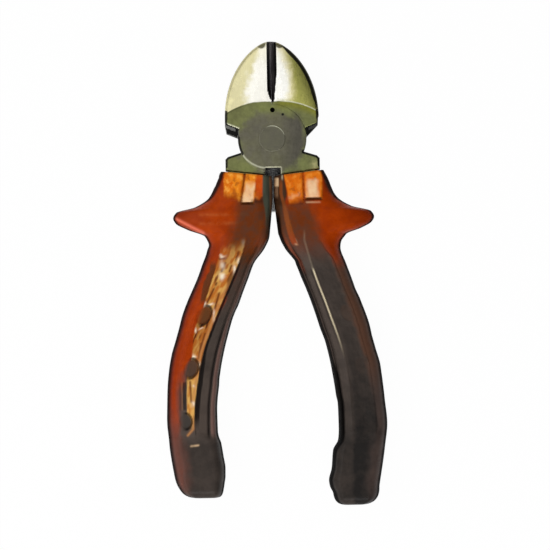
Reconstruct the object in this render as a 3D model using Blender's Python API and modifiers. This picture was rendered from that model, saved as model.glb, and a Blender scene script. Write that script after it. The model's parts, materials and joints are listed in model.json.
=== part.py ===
"""Diagonal cutter of 160 mm: two forged halves on a rivet, with moulded sleeves on the handles.

The tool lies flat on its back: +Y runs to the jaws, +X to the right and +Z up, in metres.
Every piece is modelled round the rivet's axis, and the empty rivet_axis puts it in its place.
Plan points are (x, y) from that axis, and edge points are (distance below the axis, x).
"""
import math
from bisect import bisect_right

import bmesh
import bpy
from mathutils import Matrix

MM = 0.001

# Fits between pieces
FIT = 0.3 * MM             # gap between pieces that touch or slide
EDGE_GAP = 0.3 * MM        # between the two cutting edges when the tool is shut

# Jaws
JAW_REACH = 33.8 * MM      # rivet axis to the tip
HEAD_HALF_WIDTH = 16.25 * MM
HEAD_THICKNESS = 11.0 * MM
TIP_THICKNESS = 5.2 * MM
FORGED_CHAMFER = 0.6 * MM
JAW_WIDEST_AT = 7.0 * MM   # height above the axis where the side turns straight
JAW_CORNER_AT = 3.9 * MM   # lower corner of the side
TIP_ROUND = 9.6 * MM       # handles of the egg-shaped outline, at the tip and at the side
SIDE_ROUND = 12.4 * MM
CROWN_RADIUS = 70.0 * MM   # cross curve of the ground faces
CROWN_START = 9.5 * MM     # height above the axis where the grinding starts at the sides
CROWN_MIDDLE = 13.3 * MM   # and in the middle

# Cutting edges
EDGE_LAND = 0.5 * MM       # thickness left at the very edge
BEVEL_WIDTH = 1.7 * MM     # ground bevel beside the edge, seen from the front
BEVEL_FADE = 17.0 * MM     # height above the axis from where the bevel narrows
RELIEF_RADIUS = 0.9 * MM   # small hole where the edges end

# Lap joint
DISC_RADIUS = 11.6 * MM
DISC_FLAT = 10.1 * MM      # flat foot of the disc, below the axis
NECK_TOP = 0.3 * MM        # upper corner of the side notch, above the axis
NECK_BOTTOM = 4.7 * MM     # lower corner of the side notch, below the axis
SHOULDER_OUTER = 16.3 * MM
SHOULDER_INNER = 2.8 * MM
SHOULDER_CORNER_AT = 7.0 * MM
SHOULDER_CLIP = 0.9 * MM
RIVET_RADIUS = 3.0 * MM
RIVET_HEAD_RADIUS = 4.8 * MM
RIVET_HEAD_RIM = 0.5 * MM

# Tangs inside the sleeves
TANG_ROOT_THICKNESS = 10.2 * MM   # at the mouth of the sleeve, under the thin collar
TANG_THICKNESS = 7.0 * MM  # from the guard down
TANG_INSET = 1.5 * MM      # plastic on the inner side of the tang
TANG_TOP_WIDTH = 11.0 * MM
TANG_END_WIDTH = 8.0 * MM
TANG_REACH = 112.0 * MM
TANG_CHAMFER = 1.0 * MM
TANG_ROOT = 2.0 * MM       # how far the tang's stock runs up into the shoulder

# Sleeves
LEFT_GRIP_REACH = 124.7 * MM
RIGHT_GRIP_REACH = 127.2 * MM
GRIP_DEPTH = 16.0 * MM
GRIP_WIDTH = 17.5 * MM     # width at which the section has its full rim and pad
COLLAR_DEPTH = 13.0 * MM
COLLAR_TOP = 12.4 * MM     # mouth of the sleeve at its inner side
COLLAR_SLANT = 2.0 * MM    # how much higher the mouth is at its outer side
COLLAR_END = 21.8 * MM     # step from the collar to the thicker body
COLLAR_STEP = 0.8 * MM
GUARD_END = 34.0 * MM      # from here down the handle changes slowly
HEEL_AT = 101.0 * MM       # where the heel block starts to stand in
HEEL_STEP = 7.0 * MM
PAD_INNER = 6.4 * MM       # raised flat strip, from the inner edge of the sleeve
PAD_OUTER = 13.4 * MM
PAD_HEIGHT = 0.4 * MM
PAD_EDGE = 0.3 * MM
RIM_WIDTH = 2.4 * MM       # inner rim, parted from the rest by a groove
RIM_DROP = 2.2 * MM
GROOVE_WIDTH = 0.7 * MM
GROOVE_DEPTH = 0.6 * MM
END_ROUND_OUTER = 5.0 * MM
END_ROUND_INNER = 2.0 * MM
END_ROUND_FACE = 2.4 * MM
DIMPLE_RADIUS = 2.8 * MM
DIMPLE_DEPTH = 0.7 * MM
DIMPLE_INSET = 10.2 * MM   # from the inner edge of the sleeve
DIMPLE_FIRST = 42.0 * MM   # distance below the axis
DIMPLE_PITCH = 18.2 * MM
DIMPLE_COUNT = 4

# Edges of a sleeve in plan: mouth, then swell or guard, then handle and heel
INNER_EDGE = [
    (12.4 * MM, 3.1 * MM), (19.0 * MM, 0.7 * MM), (28.0 * MM, 0.8 * MM), (34.0 * MM, 1.6 * MM),
    (38.0 * MM, 3.4 * MM), (43.0 * MM, 7.1 * MM), (64.0 * MM, 15.2 * MM), (80.0 * MM, 19.1 * MM),
    (94.0 * MM, 20.8 * MM), (101.0 * MM, 20.7 * MM), (108.0 * MM, 18.9 * MM), (120.0 * MM, 18.0 * MM),
]
OUTER_EDGE = [
    (10.4 * MM, 17.2 * MM), (13.0 * MM, 18.9 * MM), (20.0 * MM, 22.3 * MM), (23.2 * MM, 27.2 * MM),
    (25.0 * MM, 33.8 * MM), (27.0 * MM, 34.9 * MM), (28.8 * MM, 34.0 * MM), (31.0 * MM, 30.0 * MM),
    (33.4 * MM, 24.6 * MM), (37.0 * MM, 23.2 * MM), (44.0 * MM, 25.4 * MM), (64.0 * MM, 33.0 * MM),
    (80.0 * MM, 36.9 * MM), (97.0 * MM, 38.3 * MM), (108.0 * MM, 37.1 * MM), (121.0 * MM, 35.0 * MM),
]

HALF_HEAD = HEAD_THICKNESS / 2
HALF_GRIP = GRIP_DEPTH / 2
BEYOND = 2 * MM            # how far a cutter runs past what it cuts

for old in list(bpy.data.objects):
    bpy.data.objects.remove(old, do_unlink=True)

pieces = bpy.data.collections.new("diagonal_cutter")
cutters = bpy.data.collections.new("diagonal_cutter_cutters")
for collection in (pieces, cutters):
    bpy.context.scene.collection.children.link(collection)

# The axis stands so that the tool's outline is centred on the origin and its back lies at height zero
rivet_axis = bpy.data.objects.new("rivet_axis", None)
rivet_axis.location = (0, (max(LEFT_GRIP_REACH, RIGHT_GRIP_REACH) - JAW_REACH) / 2, HALF_GRIP)
pieces.objects.link(rivet_axis)


def add_piece(name, mesh, colour, roughness, metallic):
    """A finished piece on the rivet's axis, with its own material."""
    piece = bpy.data.objects.new(name, mesh)
    pieces.objects.link(piece)
    piece.parent = rivet_axis
    material = bpy.data.materials.new(name)
    material.use_nodes = True
    shader = material.node_tree.nodes["Principled BSDF"]
    shader.inputs["Base Color"].default_value = (*colour, 1)
    shader.inputs["Roughness"].default_value = roughness
    shader.inputs["Metallic"].default_value = metallic
    if not mesh.materials:
        mesh.materials.append(None)
    piece.material_slots[0].link = "OBJECT"
    piece.material_slots[0].material = material
    return piece


def add_cutter(name, mesh):
    """A shape that only cuts or joins, hidden from the finished model."""
    cutter = bpy.data.objects.new(name, mesh)
    cutters.objects.link(cutter)
    cutter.parent = rivet_axis
    cutter.hide_render = True
    cutter.display_type = "WIRE"
    return cutter


def combine(piece, other, operation):
    """Boolean of a piece with another shape."""
    boolean = piece.modifiers.new(f"{operation.lower()} {other.name}", "BOOLEAN")
    boolean.operation = operation
    boolean.object = other
    boolean.solver = "EXACT"


def finished_mesh(piece):
    """Copy of a piece's mesh with its modifiers applied."""
    graph = bpy.context.evaluated_depsgraph_get()
    return bpy.data.meshes.new_from_object(piece.evaluated_get(graph))


def smooth(mesh):
    """Smooth shading that keeps edges sharper than 30 degrees."""
    mesh.shade_smooth()
    mesh.set_sharp_from_angle(angle=math.radians(30))


def outline_mesh(name, knots, half_thickness, chamfer):
    """Plate of a flat outline with chamfered edges; a knot is (point, handle before, handle after)."""
    curve = bpy.data.curves.new(name, "CURVE")
    curve.dimensions = "2D"
    curve.fill_mode = "BOTH"
    curve.resolution_u = 14
    curve.extrude = half_thickness - chamfer
    curve.bevel_depth = chamfer
    curve.bevel_resolution = 0
    curve.offset = -chamfer
    spline = curve.splines.new("BEZIER")
    spline.bezier_points.add(len(knots) - 1)
    spline.use_cyclic_u = True
    for knot, (point, before, after) in zip(spline.bezier_points, knots):
        knot.handle_left_type = "FREE" if before else "VECTOR"
        knot.handle_right_type = "FREE" if after else "VECTOR"
        knot.co = (*point, 0)
        if before:
            knot.handle_left = (*before, 0)
        if after:
            knot.handle_right = (*after, 0)
    plate = bpy.data.objects.new(name, curve)
    cutters.objects.link(plate)
    mesh = finished_mesh(plate)
    bpy.data.objects.remove(plate)
    shape = bmesh.new()
    shape.from_mesh(mesh)
    bmesh.ops.remove_doubles(shape, verts=shape.verts, dist=1e-6)
    shape.to_mesh(mesh)
    shape.free()
    return mesh


def loft_mesh(name, rings):
    """Closed skin over rings of equally many points."""
    shape = bmesh.new()
    loops = [[shape.verts.new(point) for point in ring] for ring in rings]
    for lower, upper in zip(loops, loops[1:]):
        for here in range(len(lower)):
            there = (here + 1) % len(lower)
            shape.faces.new((lower[here], lower[there], upper[there], upper[here]))
    shape.faces.new(loops[0])
    shape.faces.new(loops[-1])
    bmesh.ops.recalc_face_normals(shape, faces=shape.faces)
    mesh = bpy.data.meshes.new(name)
    shape.to_mesh(mesh)
    shape.free()
    return mesh


def cylinder_mesh(name, radius, bottom, top, centres, sides):
    """Upright cylinders at the given plan points."""
    shape = bmesh.new()
    for x, y in centres:
        place = Matrix.Translation((x, y, (bottom + top) / 2))
        bmesh.ops.create_cone(shape, cap_ends=True, segments=sides, radius1=radius, radius2=radius,
                              depth=top - bottom, matrix=place)
    mesh = bpy.data.meshes.new(name)
    shape.to_mesh(mesh)
    shape.free()
    return mesh


def box_mesh(name, low, high):
    """Box between two corners."""
    middle = Matrix.Translation([(a + b) / 2 for a, b in zip(low, high)])
    size = Matrix.Diagonal([b - a for a, b in zip(low, high)] + [1])
    shape = bmesh.new()
    bmesh.ops.create_cube(shape, size=1, matrix=middle @ size)
    mesh = bpy.data.meshes.new(name)
    shape.to_mesh(mesh)
    shape.free()
    return mesh


def turn(piece, steps):
    """Turn a profile of (radius, height) points round the Z axis."""
    screw = piece.modifiers.new("turn", "SCREW")
    screw.axis = "Z"
    screw.steps = steps
    screw.render_steps = steps
    screw.use_merge_vertices = True
    screw.merge_threshold = 0.00001
    screw.use_smooth_shade = True


def profile_mesh(name, points):
    """Open profile in the XZ plane, from the top of the axis round to its bottom."""
    mesh = bpy.data.meshes.new(name)
    edges = [(step, step + 1) for step in range(len(points) - 1)]
    mesh.from_pydata([(radius, 0, height) for radius, height in points], edges, [])
    return mesh


def edge_at(points, distance):
    """Height of a smooth curve through (distance, x) points, which never overshoots them."""
    places, values = zip(*points)
    if distance <= places[0]:
        return values[0]
    if distance >= places[-1]:
        return values[-1]
    slopes = [(b - a) / (q - p) for p, q, a, b in zip(places, places[1:], values, values[1:])]

    def tangent(knot):
        if knot in (0, len(places) - 1):
            return slopes[min(knot, len(slopes) - 1)]
        before, after = slopes[knot - 1], slopes[knot]
        if before * after <= 0:
            return 0.0
        return 2 * before * after / (before + after)

    knot = bisect_right(places, distance) - 1
    span = places[knot + 1] - places[knot]
    t = (distance - places[knot]) / span
    start, end = values[knot], values[knot + 1]
    leave, arrive = tangent(knot) * span, tangent(knot + 1) * span
    bend = 3 * (end - start) - 2 * leave - arrive
    twist = 2 * (start - end) + leave + arrive
    return start + t * (leave + t * (bend + t * twist))


def spread(first, last, count):
    """Evenly spaced values from first up to, but not including, last."""
    return [first + (last - first) * step / count for step in range(count)]


# Forging: one jaw, one lap disc and one tang. Both halves are this shape, the rear one turned over.

def mouth_height(x):
    """Slanted mouth line of the sleeve, which the shoulder sits on."""
    inner, outer = INNER_EDGE[0][1], OUTER_EDGE[0][1]
    return -COLLAR_TOP + COLLAR_SLANT * (x - inner) / (outer - inner)


def face_height(y):
    """Half thickness of the head along its middle line."""
    slope = (HALF_HEAD - TIP_THICKNESS / 2) / (JAW_REACH - CROWN_MIDDLE)
    return HALF_HEAD - slope * max(0, y - CROWN_MIDDLE)


def jaw_outline():
    neck = math.sqrt(DISC_RADIUS ** 2 - NECK_TOP ** 2)
    cutting_line = -EDGE_GAP / 2
    return [
        ((cutting_line, 0), None, None),
        ((cutting_line, JAW_REACH), None, (-TIP_ROUND, JAW_REACH)),
        ((-HEAD_HALF_WIDTH, JAW_WIDEST_AT), (-HEAD_HALF_WIDTH, JAW_WIDEST_AT + SIDE_ROUND), None),
        ((-HEAD_HALF_WIDTH, JAW_CORNER_AT), None, None),
        ((-neck, NECK_TOP), None, None),
    ]


def shoulder_outline():
    neck = math.sqrt(DISC_RADIUS ** 2 - NECK_BOTTOM ** 2)
    corners = [
        (SHOULDER_INNER, 0),
        (SHOULDER_INNER, mouth_height(SHOULDER_INNER) + FIT),
        (SHOULDER_OUTER, mouth_height(SHOULDER_OUTER) + FIT),
        (SHOULDER_OUTER, -SHOULDER_CORNER_AT),
        (SHOULDER_OUTER - SHOULDER_CLIP, SHOULDER_CLIP - SHOULDER_CORNER_AT),
        (neck, -NECK_BOTTOM),
    ]
    return [(corner, None, None) for corner in corners]


def tang_mesh(name, grow):
    """Tang with chamfered corners, following the sleeve's inner edge; grown it is the socket for it."""
    top = COLLAR_TOP - COLLAR_SLANT - TANG_ROOT - grow
    bottom = TANG_REACH + grow
    stops = spread(top, COLLAR_END, 4) + spread(COLLAR_END, GUARD_END, 4) + spread(GUARD_END, bottom, 12)
    rings = []
    for distance in stops + [bottom]:
        share = min(1, max(0, (distance - COLLAR_TOP) / (TANG_REACH - COLLAR_TOP)))
        width = TANG_TOP_WIDTH + share * (TANG_END_WIDTH - TANG_TOP_WIDTH)
        thinning = min(1, max(0, (distance - COLLAR_TOP) / (GUARD_END - COLLAR_TOP)))
        half = (TANG_ROOT_THICKNESS + thinning * (TANG_THICKNESS - TANG_ROOT_THICKNESS)) / 2 + grow
        inner = edge_at(INNER_EDGE, distance) + TANG_INSET - grow
        outer = inner + width + 2 * grow
        corner = TANG_CHAMFER
        section = [(inner, half - corner), (inner + corner, half), (outer - corner, half), (outer, half - corner)]
        section += [(x, -z) for x, z in reversed(section)]
        rings.append([(x, -distance, z) for x, z in section])
    return loft_mesh(name, rings)


def add_crown(name, side):
    """Large turned body whose curved flank is the ground face of the jaws."""
    rim = math.hypot(CROWN_RADIUS, HEAD_HALF_WIDTH) + FIT
    tip = JAW_REACH + BEYOND
    foot = -DISC_RADIUS
    tip_radius = CROWN_RADIUS - HALF_HEAD + face_height(tip)
    points = [(0, tip), (tip_radius, tip), (CROWN_RADIUS, CROWN_MIDDLE), (rim, CROWN_START), (rim, foot), (0, foot)]
    crown = add_cutter(name, profile_mesh(name, points))
    turn(crown, 200)
    crown.rotation_euler = (-math.pi / 2, 0, 0)
    crown.location = (0, 0, side * (HALF_HEAD - CROWN_RADIUS))
    return crown


def bevel_mesh(name, side):
    """Wedge that grinds the bevel beside the cutting edge on one face."""
    line = -EDGE_GAP / 2
    land = EDGE_LAND / 2
    top = HALF_HEAD + BEYOND
    fade = (BEVEL_FADE + CROWN_MIDDLE) / 2
    rings = []
    for y, share in ((JAW_REACH + BEYOND, 1), (BEVEL_FADE, 1), (fade, 0.75), (CROWN_MIDDLE, 0.1)):
        lean = share * BEVEL_WIDTH / (face_height(min(y, JAW_REACH)) - land)
        section = [(line, land), (line - lean * (top - land), top), (BEYOND, top), (BEYOND, land)]
        rings.append([(x, y, side * z) for x, z in section])
    return loft_mesh(name, rings)


def rivet_profile(grow, top):
    """Countersunk rivet, or with grow its hole, down its outer side from the front to the back."""
    head = RIVET_HEAD_RADIUS + grow
    shank = RIVET_RADIUS + grow
    rim = HALF_HEAD - RIVET_HEAD_RIM
    throat = rim - (head - shank)
    front = [(0, top), (head, top), (head, rim), (shank, throat)]
    return front + [(radius, -height) for radius, height in reversed(front)]


forging = add_cutter("forging", outline_mesh("forging", jaw_outline(), HALF_HEAD, FORGED_CHAMFER))
shoulder_plate = outline_mesh("shoulder_stock", shoulder_outline(), HALF_HEAD, FORGED_CHAMFER)
lap_seat = cylinder_mesh("lap_seat", DISC_RADIUS + FIT, -HALF_HEAD - BEYOND, FIT / 2, [(0, 0)], 96)
lap_disc = cylinder_mesh("lap_disc", DISC_RADIUS, FIT / 2, HALF_HEAD, [(0, 0)], 96)
foot_low = (-DISC_RADIUS, -DISC_RADIUS - BEYOND, -HALF_HEAD)
foot_high = (SHOULDER_INNER, -DISC_FLAT, HALF_HEAD + BEYOND)
disc_foot = box_mesh("disc_foot", foot_low, foot_high)
relief_at = [(0, DISC_RADIUS + FIT + RELIEF_RADIUS / 2)]
relief = cylinder_mesh("relief_hole", RELIEF_RADIUS, -HALF_HEAD - BEYOND, HALF_HEAD + BEYOND, relief_at, 24)
rivet_hole = add_cutter("rivet_hole", profile_mesh("rivet_hole", rivet_profile(FIT, HALF_HEAD + BEYOND)))
turn(rivet_hole, 48)
combine(forging, add_crown("front_crown", 1), "INTERSECT")
combine(forging, add_crown("rear_crown", -1), "INTERSECT")
combine(forging, add_cutter("shoulder_stock", shoulder_plate), "UNION")
combine(forging, add_cutter("tang_stock", tang_mesh("tang_stock", 0)), "UNION")
combine(forging, add_cutter("lap_seat", lap_seat), "DIFFERENCE")
combine(forging, add_cutter("lap_disc", lap_disc), "UNION")
combine(forging, add_cutter("disc_foot", disc_foot), "DIFFERENCE")
combine(forging, add_cutter("relief_hole", relief), "DIFFERENCE")
combine(forging, rivet_hole, "DIFFERENCE")
for side, face in ((1, "front"), (-1, "rear")):
    combine(forging, add_cutter(f"{face}_bevel", bevel_mesh(f"{face}_bevel", side)), "DIFFERENCE")

STEEL = (0.20, 0.21, 0.12)
for name, half_turn in (("front_half", 0), ("rear_half", math.pi)):
    half_mesh = finished_mesh(forging)
    smooth(half_mesh)
    half = add_piece(name, half_mesh, STEEL, 0.35, 1.0)
    half.rotation_euler = (0, half_turn, 0)

# Rivet: its two countersunk heads lie flush with the lap discs

rivet_stock = add_cutter("rivet_stock", profile_mesh("rivet_stock", rivet_profile(0, HALF_HEAD)))
turn(rivet_stock, 48)
rivet_mesh = finished_mesh(rivet_stock)
smooth(rivet_mesh)
add_piece("pivot_rivet", rivet_mesh, (0.17, 0.17, 0.12), 0.4, 1.0)


# Sleeves: lofted round the tangs, with a collar, a guard, a padded handle and a heel

def rounding(left_over, radius):
    """How far a rounded end has drawn in, with this length left over to its tip."""
    if left_over >= radius:
        return 0.0
    return radius - math.sqrt(radius ** 2 - (radius - left_over) ** 2)


def body_section(width, half, groove):
    """Upper half of the handle's section: inner wall, rim, groove, slope, pad and round outer side."""
    fit = min(1, width / GRIP_WIDTH)
    rim = half - RIM_DROP
    slope_top = half - PAD_HEIGHT
    side_start = fit * (PAD_OUTER + PAD_EDGE)
    section = [
        (0, 0),
        (0.1 * RIM_WIDTH * fit, 0.5 * rim),
        (0.4 * RIM_WIDTH * fit, 0.88 * rim),
        (RIM_WIDTH * fit, rim),
        ((RIM_WIDTH + GROOVE_WIDTH / 2) * fit, rim - groove),
        ((RIM_WIDTH + GROOVE_WIDTH) * fit, rim),
        ((PAD_INNER - PAD_EDGE) * fit, slope_top),
        (PAD_INNER * fit, half),
        (PAD_OUTER * fit, half),
    ]
    for angle in (0, 35, 65, 90):
        reach = (width - side_start) * math.sin(math.radians(angle))
        section.append((side_start + reach, slope_top * math.cos(math.radians(angle))))
    return section


def collar_section(width):
    """Upper half of the collar's section: two flats that meet in a fine groove, with sloping sides."""
    half = COLLAR_DEPTH / 2
    middle = width / 2
    return [
        (0, 0),
        (0.02 * width, 0.5 * half),
        (0.08 * width, 0.86 * half),
        (0.14 * width, 0.97 * half),
        (middle - GROOVE_WIDTH, half),
        (middle, half - GROOVE_DEPTH),
        (middle + GROOVE_WIDTH, half),
        (0.84 * width, 0.97 * half),
        (0.89 * width, 0.88 * half),
        (0.93 * width, 0.72 * half),
        (0.96 * width, 0.5 * half),
        (0.985 * width, 0.25 * half),
        (width, 0),
    ]


def grip_mesh(name, reach, side):
    """Sleeve from its slanted mouth to its heel; side is 1 on the right and -1 on the left."""
    widest_round = max(END_ROUND_OUTER, END_ROUND_INNER, END_ROUND_FACE)
    collar_stops = spread(COLLAR_TOP, COLLAR_END, 4) + [COLLAR_END]
    body_stops = spread(COLLAR_END + COLLAR_STEP, GUARD_END, 10)
    body_stops += spread(GUARD_END, HEEL_AT, 13)
    body_stops += spread(HEEL_AT, HEEL_AT + HEEL_STEP, 4)
    body_stops += spread(HEEL_AT + HEEL_STEP, reach - widest_round, 2)
    body_stops += [reach - widest_round * left for left in (1, 0.6, 0.3, 0.1, 0)]
    rings = []
    for distance in collar_stops + body_stops:
        in_collar = distance <= COLLAR_END
        slant = COLLAR_SLANT * max(0, 1 - (distance - COLLAR_TOP) / (COLLAR_END - COLLAR_TOP))
        left_over = reach - distance
        inner = edge_at(INNER_EDGE, distance) + rounding(left_over, END_ROUND_INNER)
        outer = edge_at(OUTER_EDGE, distance - slant) - rounding(left_over, END_ROUND_OUTER)
        width = outer - inner
        if in_collar:
            upper = collar_section(width)
        else:
            grooved = GUARD_END < distance < HEEL_AT
            half = HALF_GRIP - rounding(left_over, END_ROUND_FACE)
            upper = body_section(width, half, GROOVE_DEPTH if grooved else 0)
        section = upper + [(offset, -z) for offset, z in reversed(upper[1:-1])]
        rings.append([(side * (inner + offset), -distance + slant * offset / width, z) for offset, z in section])
    return loft_mesh(name, rings)


def dimple_mesh(name, side):
    """Row of shallow round dimples in the pad, on both faces of a sleeve."""
    shape = bmesh.new()
    for number in range(DIMPLE_COUNT):
        distance = DIMPLE_FIRST + number * DIMPLE_PITCH
        x = side * (edge_at(INNER_EDGE, distance) + DIMPLE_INSET)
        for face in (HALF_GRIP, -HALF_GRIP):
            bmesh.ops.create_cone(shape, cap_ends=True, segments=20, radius1=DIMPLE_RADIUS,
                                  radius2=DIMPLE_RADIUS, depth=2 * DIMPLE_DEPTH,
                                  matrix=Matrix.Translation((x, -distance, face)))
    mesh = bpy.data.meshes.new(name)
    shape.to_mesh(mesh)
    shape.free()
    return mesh


def add_grip(name, reach, side, colour):
    grip = add_piece(name, grip_mesh(name, reach, side), colour, 0.3, 0.0)
    socket = add_cutter(f"{name}_socket", tang_mesh(f"{name}_socket", FIT))
    socket.rotation_euler = (0, 0 if side > 0 else math.pi, 0)
    combine(grip, socket, "DIFFERENCE")
    combine(grip, add_cutter(f"{name}_dimples", dimple_mesh(f"{name}_dimples", side)), "DIFFERENCE")
    return grip


add_grip("left_grip", LEFT_GRIP_REACH, -1, (0.31, 0.035, 0.004))
add_grip("right_grip", RIGHT_GRIP_REACH, 1, (0.22, 0.028, 0.006))
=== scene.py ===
import json
import math
from bisect import bisect_right
from functools import partial, reduce

import bpy
import numpy as np
from mathutils import Matrix, Vector


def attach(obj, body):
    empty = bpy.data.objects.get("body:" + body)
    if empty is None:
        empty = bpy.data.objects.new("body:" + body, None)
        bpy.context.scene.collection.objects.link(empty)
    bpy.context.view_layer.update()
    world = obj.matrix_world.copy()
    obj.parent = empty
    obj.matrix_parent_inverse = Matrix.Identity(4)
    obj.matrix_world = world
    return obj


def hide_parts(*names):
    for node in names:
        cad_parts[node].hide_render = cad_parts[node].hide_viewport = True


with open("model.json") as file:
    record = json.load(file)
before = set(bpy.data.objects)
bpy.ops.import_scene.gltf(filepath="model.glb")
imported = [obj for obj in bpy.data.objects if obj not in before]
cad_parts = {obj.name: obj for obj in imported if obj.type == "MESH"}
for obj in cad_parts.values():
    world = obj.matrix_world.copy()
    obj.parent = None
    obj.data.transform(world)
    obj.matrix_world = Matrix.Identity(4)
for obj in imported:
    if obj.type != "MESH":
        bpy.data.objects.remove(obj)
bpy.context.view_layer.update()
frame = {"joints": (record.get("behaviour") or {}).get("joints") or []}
bpy.ops.object.select_all(action="DESELECT")

# Table and lamps: the cutter lies on its back on a white table top, painted dark as shadow in the
# crotch of the handles, under soft panels that hang to the left of it and beyond its jaws. The
# camera looks straight down, turned a little so that the jaws lean to the left.

MM = 0.001  # sizes are in millimetres, and become metres where Blender takes them
PIVOT = Vector(frame["joints"][0]["pos_m"])
VIEW_CENTRE = (0.1, -0.5)
VIEW_SPAN = 190.85  # width of the picture at the height of the rivet's middle
VIEW_DISTANCE = 1500
VIEW_NEAREST = 10
VIEW_LEAN = 1.07  # degrees

view_from = [VIEW_CENTRE[0] * MM, VIEW_CENTRE[1] * MM, PIVOT.z + VIEW_DISTANCE * MM]
bpy.ops.object.camera_add(location=view_from, rotation=(0, 0, -math.radians(VIEW_LEAN)))
camera = bpy.context.object
camera.data.lens = camera.data.sensor_width * VIEW_DISTANCE / VIEW_SPAN
camera.data.clip_start = VIEW_NEAREST * MM
bpy.context.scene.camera = camera
bpy.context.scene.view_settings.view_transform = "Standard"


def add_node(tree, kind, inputs=None, **settings):
    """New shader node. An input is named or numbered, and is a plain value or the socket that feeds it."""
    node = tree.nodes.new(kind)
    for name, value in settings.items():
        setattr(node, name, value)
    for name, value in (inputs or {}).items():
        if isinstance(value, bpy.types.NodeSocket):
            tree.links.new(value, node.inputs[name])
        else:
            node.inputs[name].default_value = value
    return node


def maths(operation, *values):
    """Result of a Math node on plain values and sockets, in the tree of the first socket."""
    tree = next(value.id_data for value in values if isinstance(value, bpy.types.NodeSocket))
    return add_node(tree, "ShaderNodeMath", dict(enumerate(values)), operation=operation).outputs[0]


def times(*values):
    """Product of sockets and plain values."""
    return reduce(partial(maths, "MULTIPLY"), values)


def ranged(value, low, high, to_low=0.0, to_high=1.0):
    """A value's place between two limits, eased at both ends."""
    inputs = {"Value": value, "From Min": low, "From Max": high, "To Min": to_low, "To Max": to_high}
    return add_node(value.id_data, "ShaderNodeMapRange", inputs, interpolation_type="SMOOTHSTEP").outputs[0]


def mixed(share, one, other):
    """Mix of two colours."""
    inputs = {0: share, 6: one, 7: other}
    return add_node(share.id_data, "ShaderNodeMix", inputs, data_type="RGBA").outputs[2]


def between(place, point):
    """Distance of a place from a point."""
    inputs = {0: place, 1: point}
    return add_node(place.id_data, "ShaderNodeVectorMath", inputs, operation="DISTANCE").outputs["Value"]


def seen_plainly(tree):
    """1 for what the camera, a reflection or a clear piece shows, 0 for the light itself."""
    path = add_node(tree, "ShaderNodeLightPath").outputs
    return maths("MAXIMUM", path["Is Camera Ray"],
                 maths("MAXIMUM", path["Is Glossy Ray"], path["Is Transmission Ray"]))


TABLE_SIZE = 3000
TABLE_DROP = 0.05  # keeps the table clear of the sleeves that lie on it
TABLE_WHITE = (0.92, 0.92, 0.92, 1)
TABLE_GLOW = 0.975  # share of plain white, which leaves a pale shadow
GAP_DEPTH = 30  # how far up the crotch has to be open, for the table in it to be lit
GAP_DARK, GAP_LIT = 0.16, 0.34
CROTCH_AT = 17.2  # middle of the shaded crotch of the handles, below the rivet
CROTCH_DARK, CROTCH_LIT = 7.6, 8.4
# colour of the painted shadow on the table, in the crotch and in narrow gaps
CROTCH_SHADE = (0.06, 0.06, 0.07, 1)

bpy.ops.mesh.primitive_plane_add(size=TABLE_SIZE * MM, location=(0, 0, -TABLE_DROP * MM))
table = bpy.context.object
table.name = "table_top"
white_top = bpy.data.materials.new("white_table")
white_top.use_nodes = True
tree = white_top.node_tree
tree.nodes.clear()
glow = add_node(tree, "ShaderNodeEmission", {"Color": (1, 1, 1, 1), "Strength": 1.0}).outputs[0]
gap = add_node(tree, "ShaderNodeAmbientOcclusion", {"Distance": GAP_DEPTH * MM}, samples=8)
place = add_node(tree, "ShaderNodeTexCoord").outputs["Object"]
from_crotch = between(place, (PIVOT.x, PIVOT.y - CROTCH_AT * MM, 0))
outside = ranged(from_crotch, CROTCH_DARK * MM, CROTCH_LIT * MM)
lit = maths("MAXIMUM", ranged(gap.outputs["AO"], GAP_DARK, GAP_LIT), outside)
# The table's own colour is painted dark as shadow in the crotch and where the gap is narrow
matt = add_node(tree, "ShaderNodeBsdfDiffuse", {"Color": mixed(lit, CROTCH_SHADE, TABLE_WHITE)}).outputs[0]
share = times(seen_plainly(tree), lit, TABLE_GLOW)
blend = add_node(tree, "ShaderNodeMixShader", {0: share, 1: matt, 2: glow}).outputs[0]
add_node(tree, "ShaderNodeOutputMaterial", {"Surface": blend})
table.data.materials.append(white_top)

SKY_TOP = 0.28  # the ceiling stays dim, so that flat steel looks grey
SKY_EDGE = 0.8
SKY_RISE = (-0.1, 0.95)  # from the horizon to overhead
SKY_RIGHT = 0.15  # what is left of the light on the right, where the studio is dark
SKY_TURN = (-0.2, 0.7)  # from the left to the right
world = bpy.data.worlds.new("studio")
bpy.context.scene.world = world
world.use_nodes = True
tree = world.node_tree
tree.nodes.clear()
way = add_node(tree, "ShaderNodeSeparateXYZ", {0: add_node(tree, "ShaderNodeTexCoord").outputs["Generated"]})
height = ranged(way.outputs["Z"], *SKY_RISE, SKY_EDGE, SKY_TOP)
dim = times(height, ranged(way.outputs["X"], *SKY_TURN, 1, SKY_RIGHT))
plain = maths("MAXIMUM", dim, add_node(tree, "ShaderNodeLightPath").outputs["Is Camera Ray"])
air = add_node(tree, "ShaderNodeBackground", {"Color": (1, 1, 1, 1), "Strength": plain}).outputs[0]
add_node(tree, "ShaderNodeOutputWorld", {"Surface": air})

LAMP_HEIGHT = 800


def hang_panel(name, over, across, along, glow):
    """Flat lamp over a point, between angles from straight up to the right and to the jaws' side."""
    up = LAMP_HEIGHT * MM
    low, high = [[up * math.tan(math.radians(angle[end])) for angle in (across, along)] for end in (0, 1)]
    middle = Vector(((low[0] + high[0]) / 2, (low[1] + high[1]) / 2, up))
    bpy.ops.object.light_add(type="AREA", location=PIVOT + Vector(over) * MM + middle)
    lamp = bpy.context.object
    lamp.name = name
    lamp.data.shape = "RECTANGLE"
    lamp.data.size = high[0] - low[0]
    lamp.data.size_y = high[1] - low[1]
    lamp.data.energy = glow * math.pi * lamp.data.size * lamp.data.size_y


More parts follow.
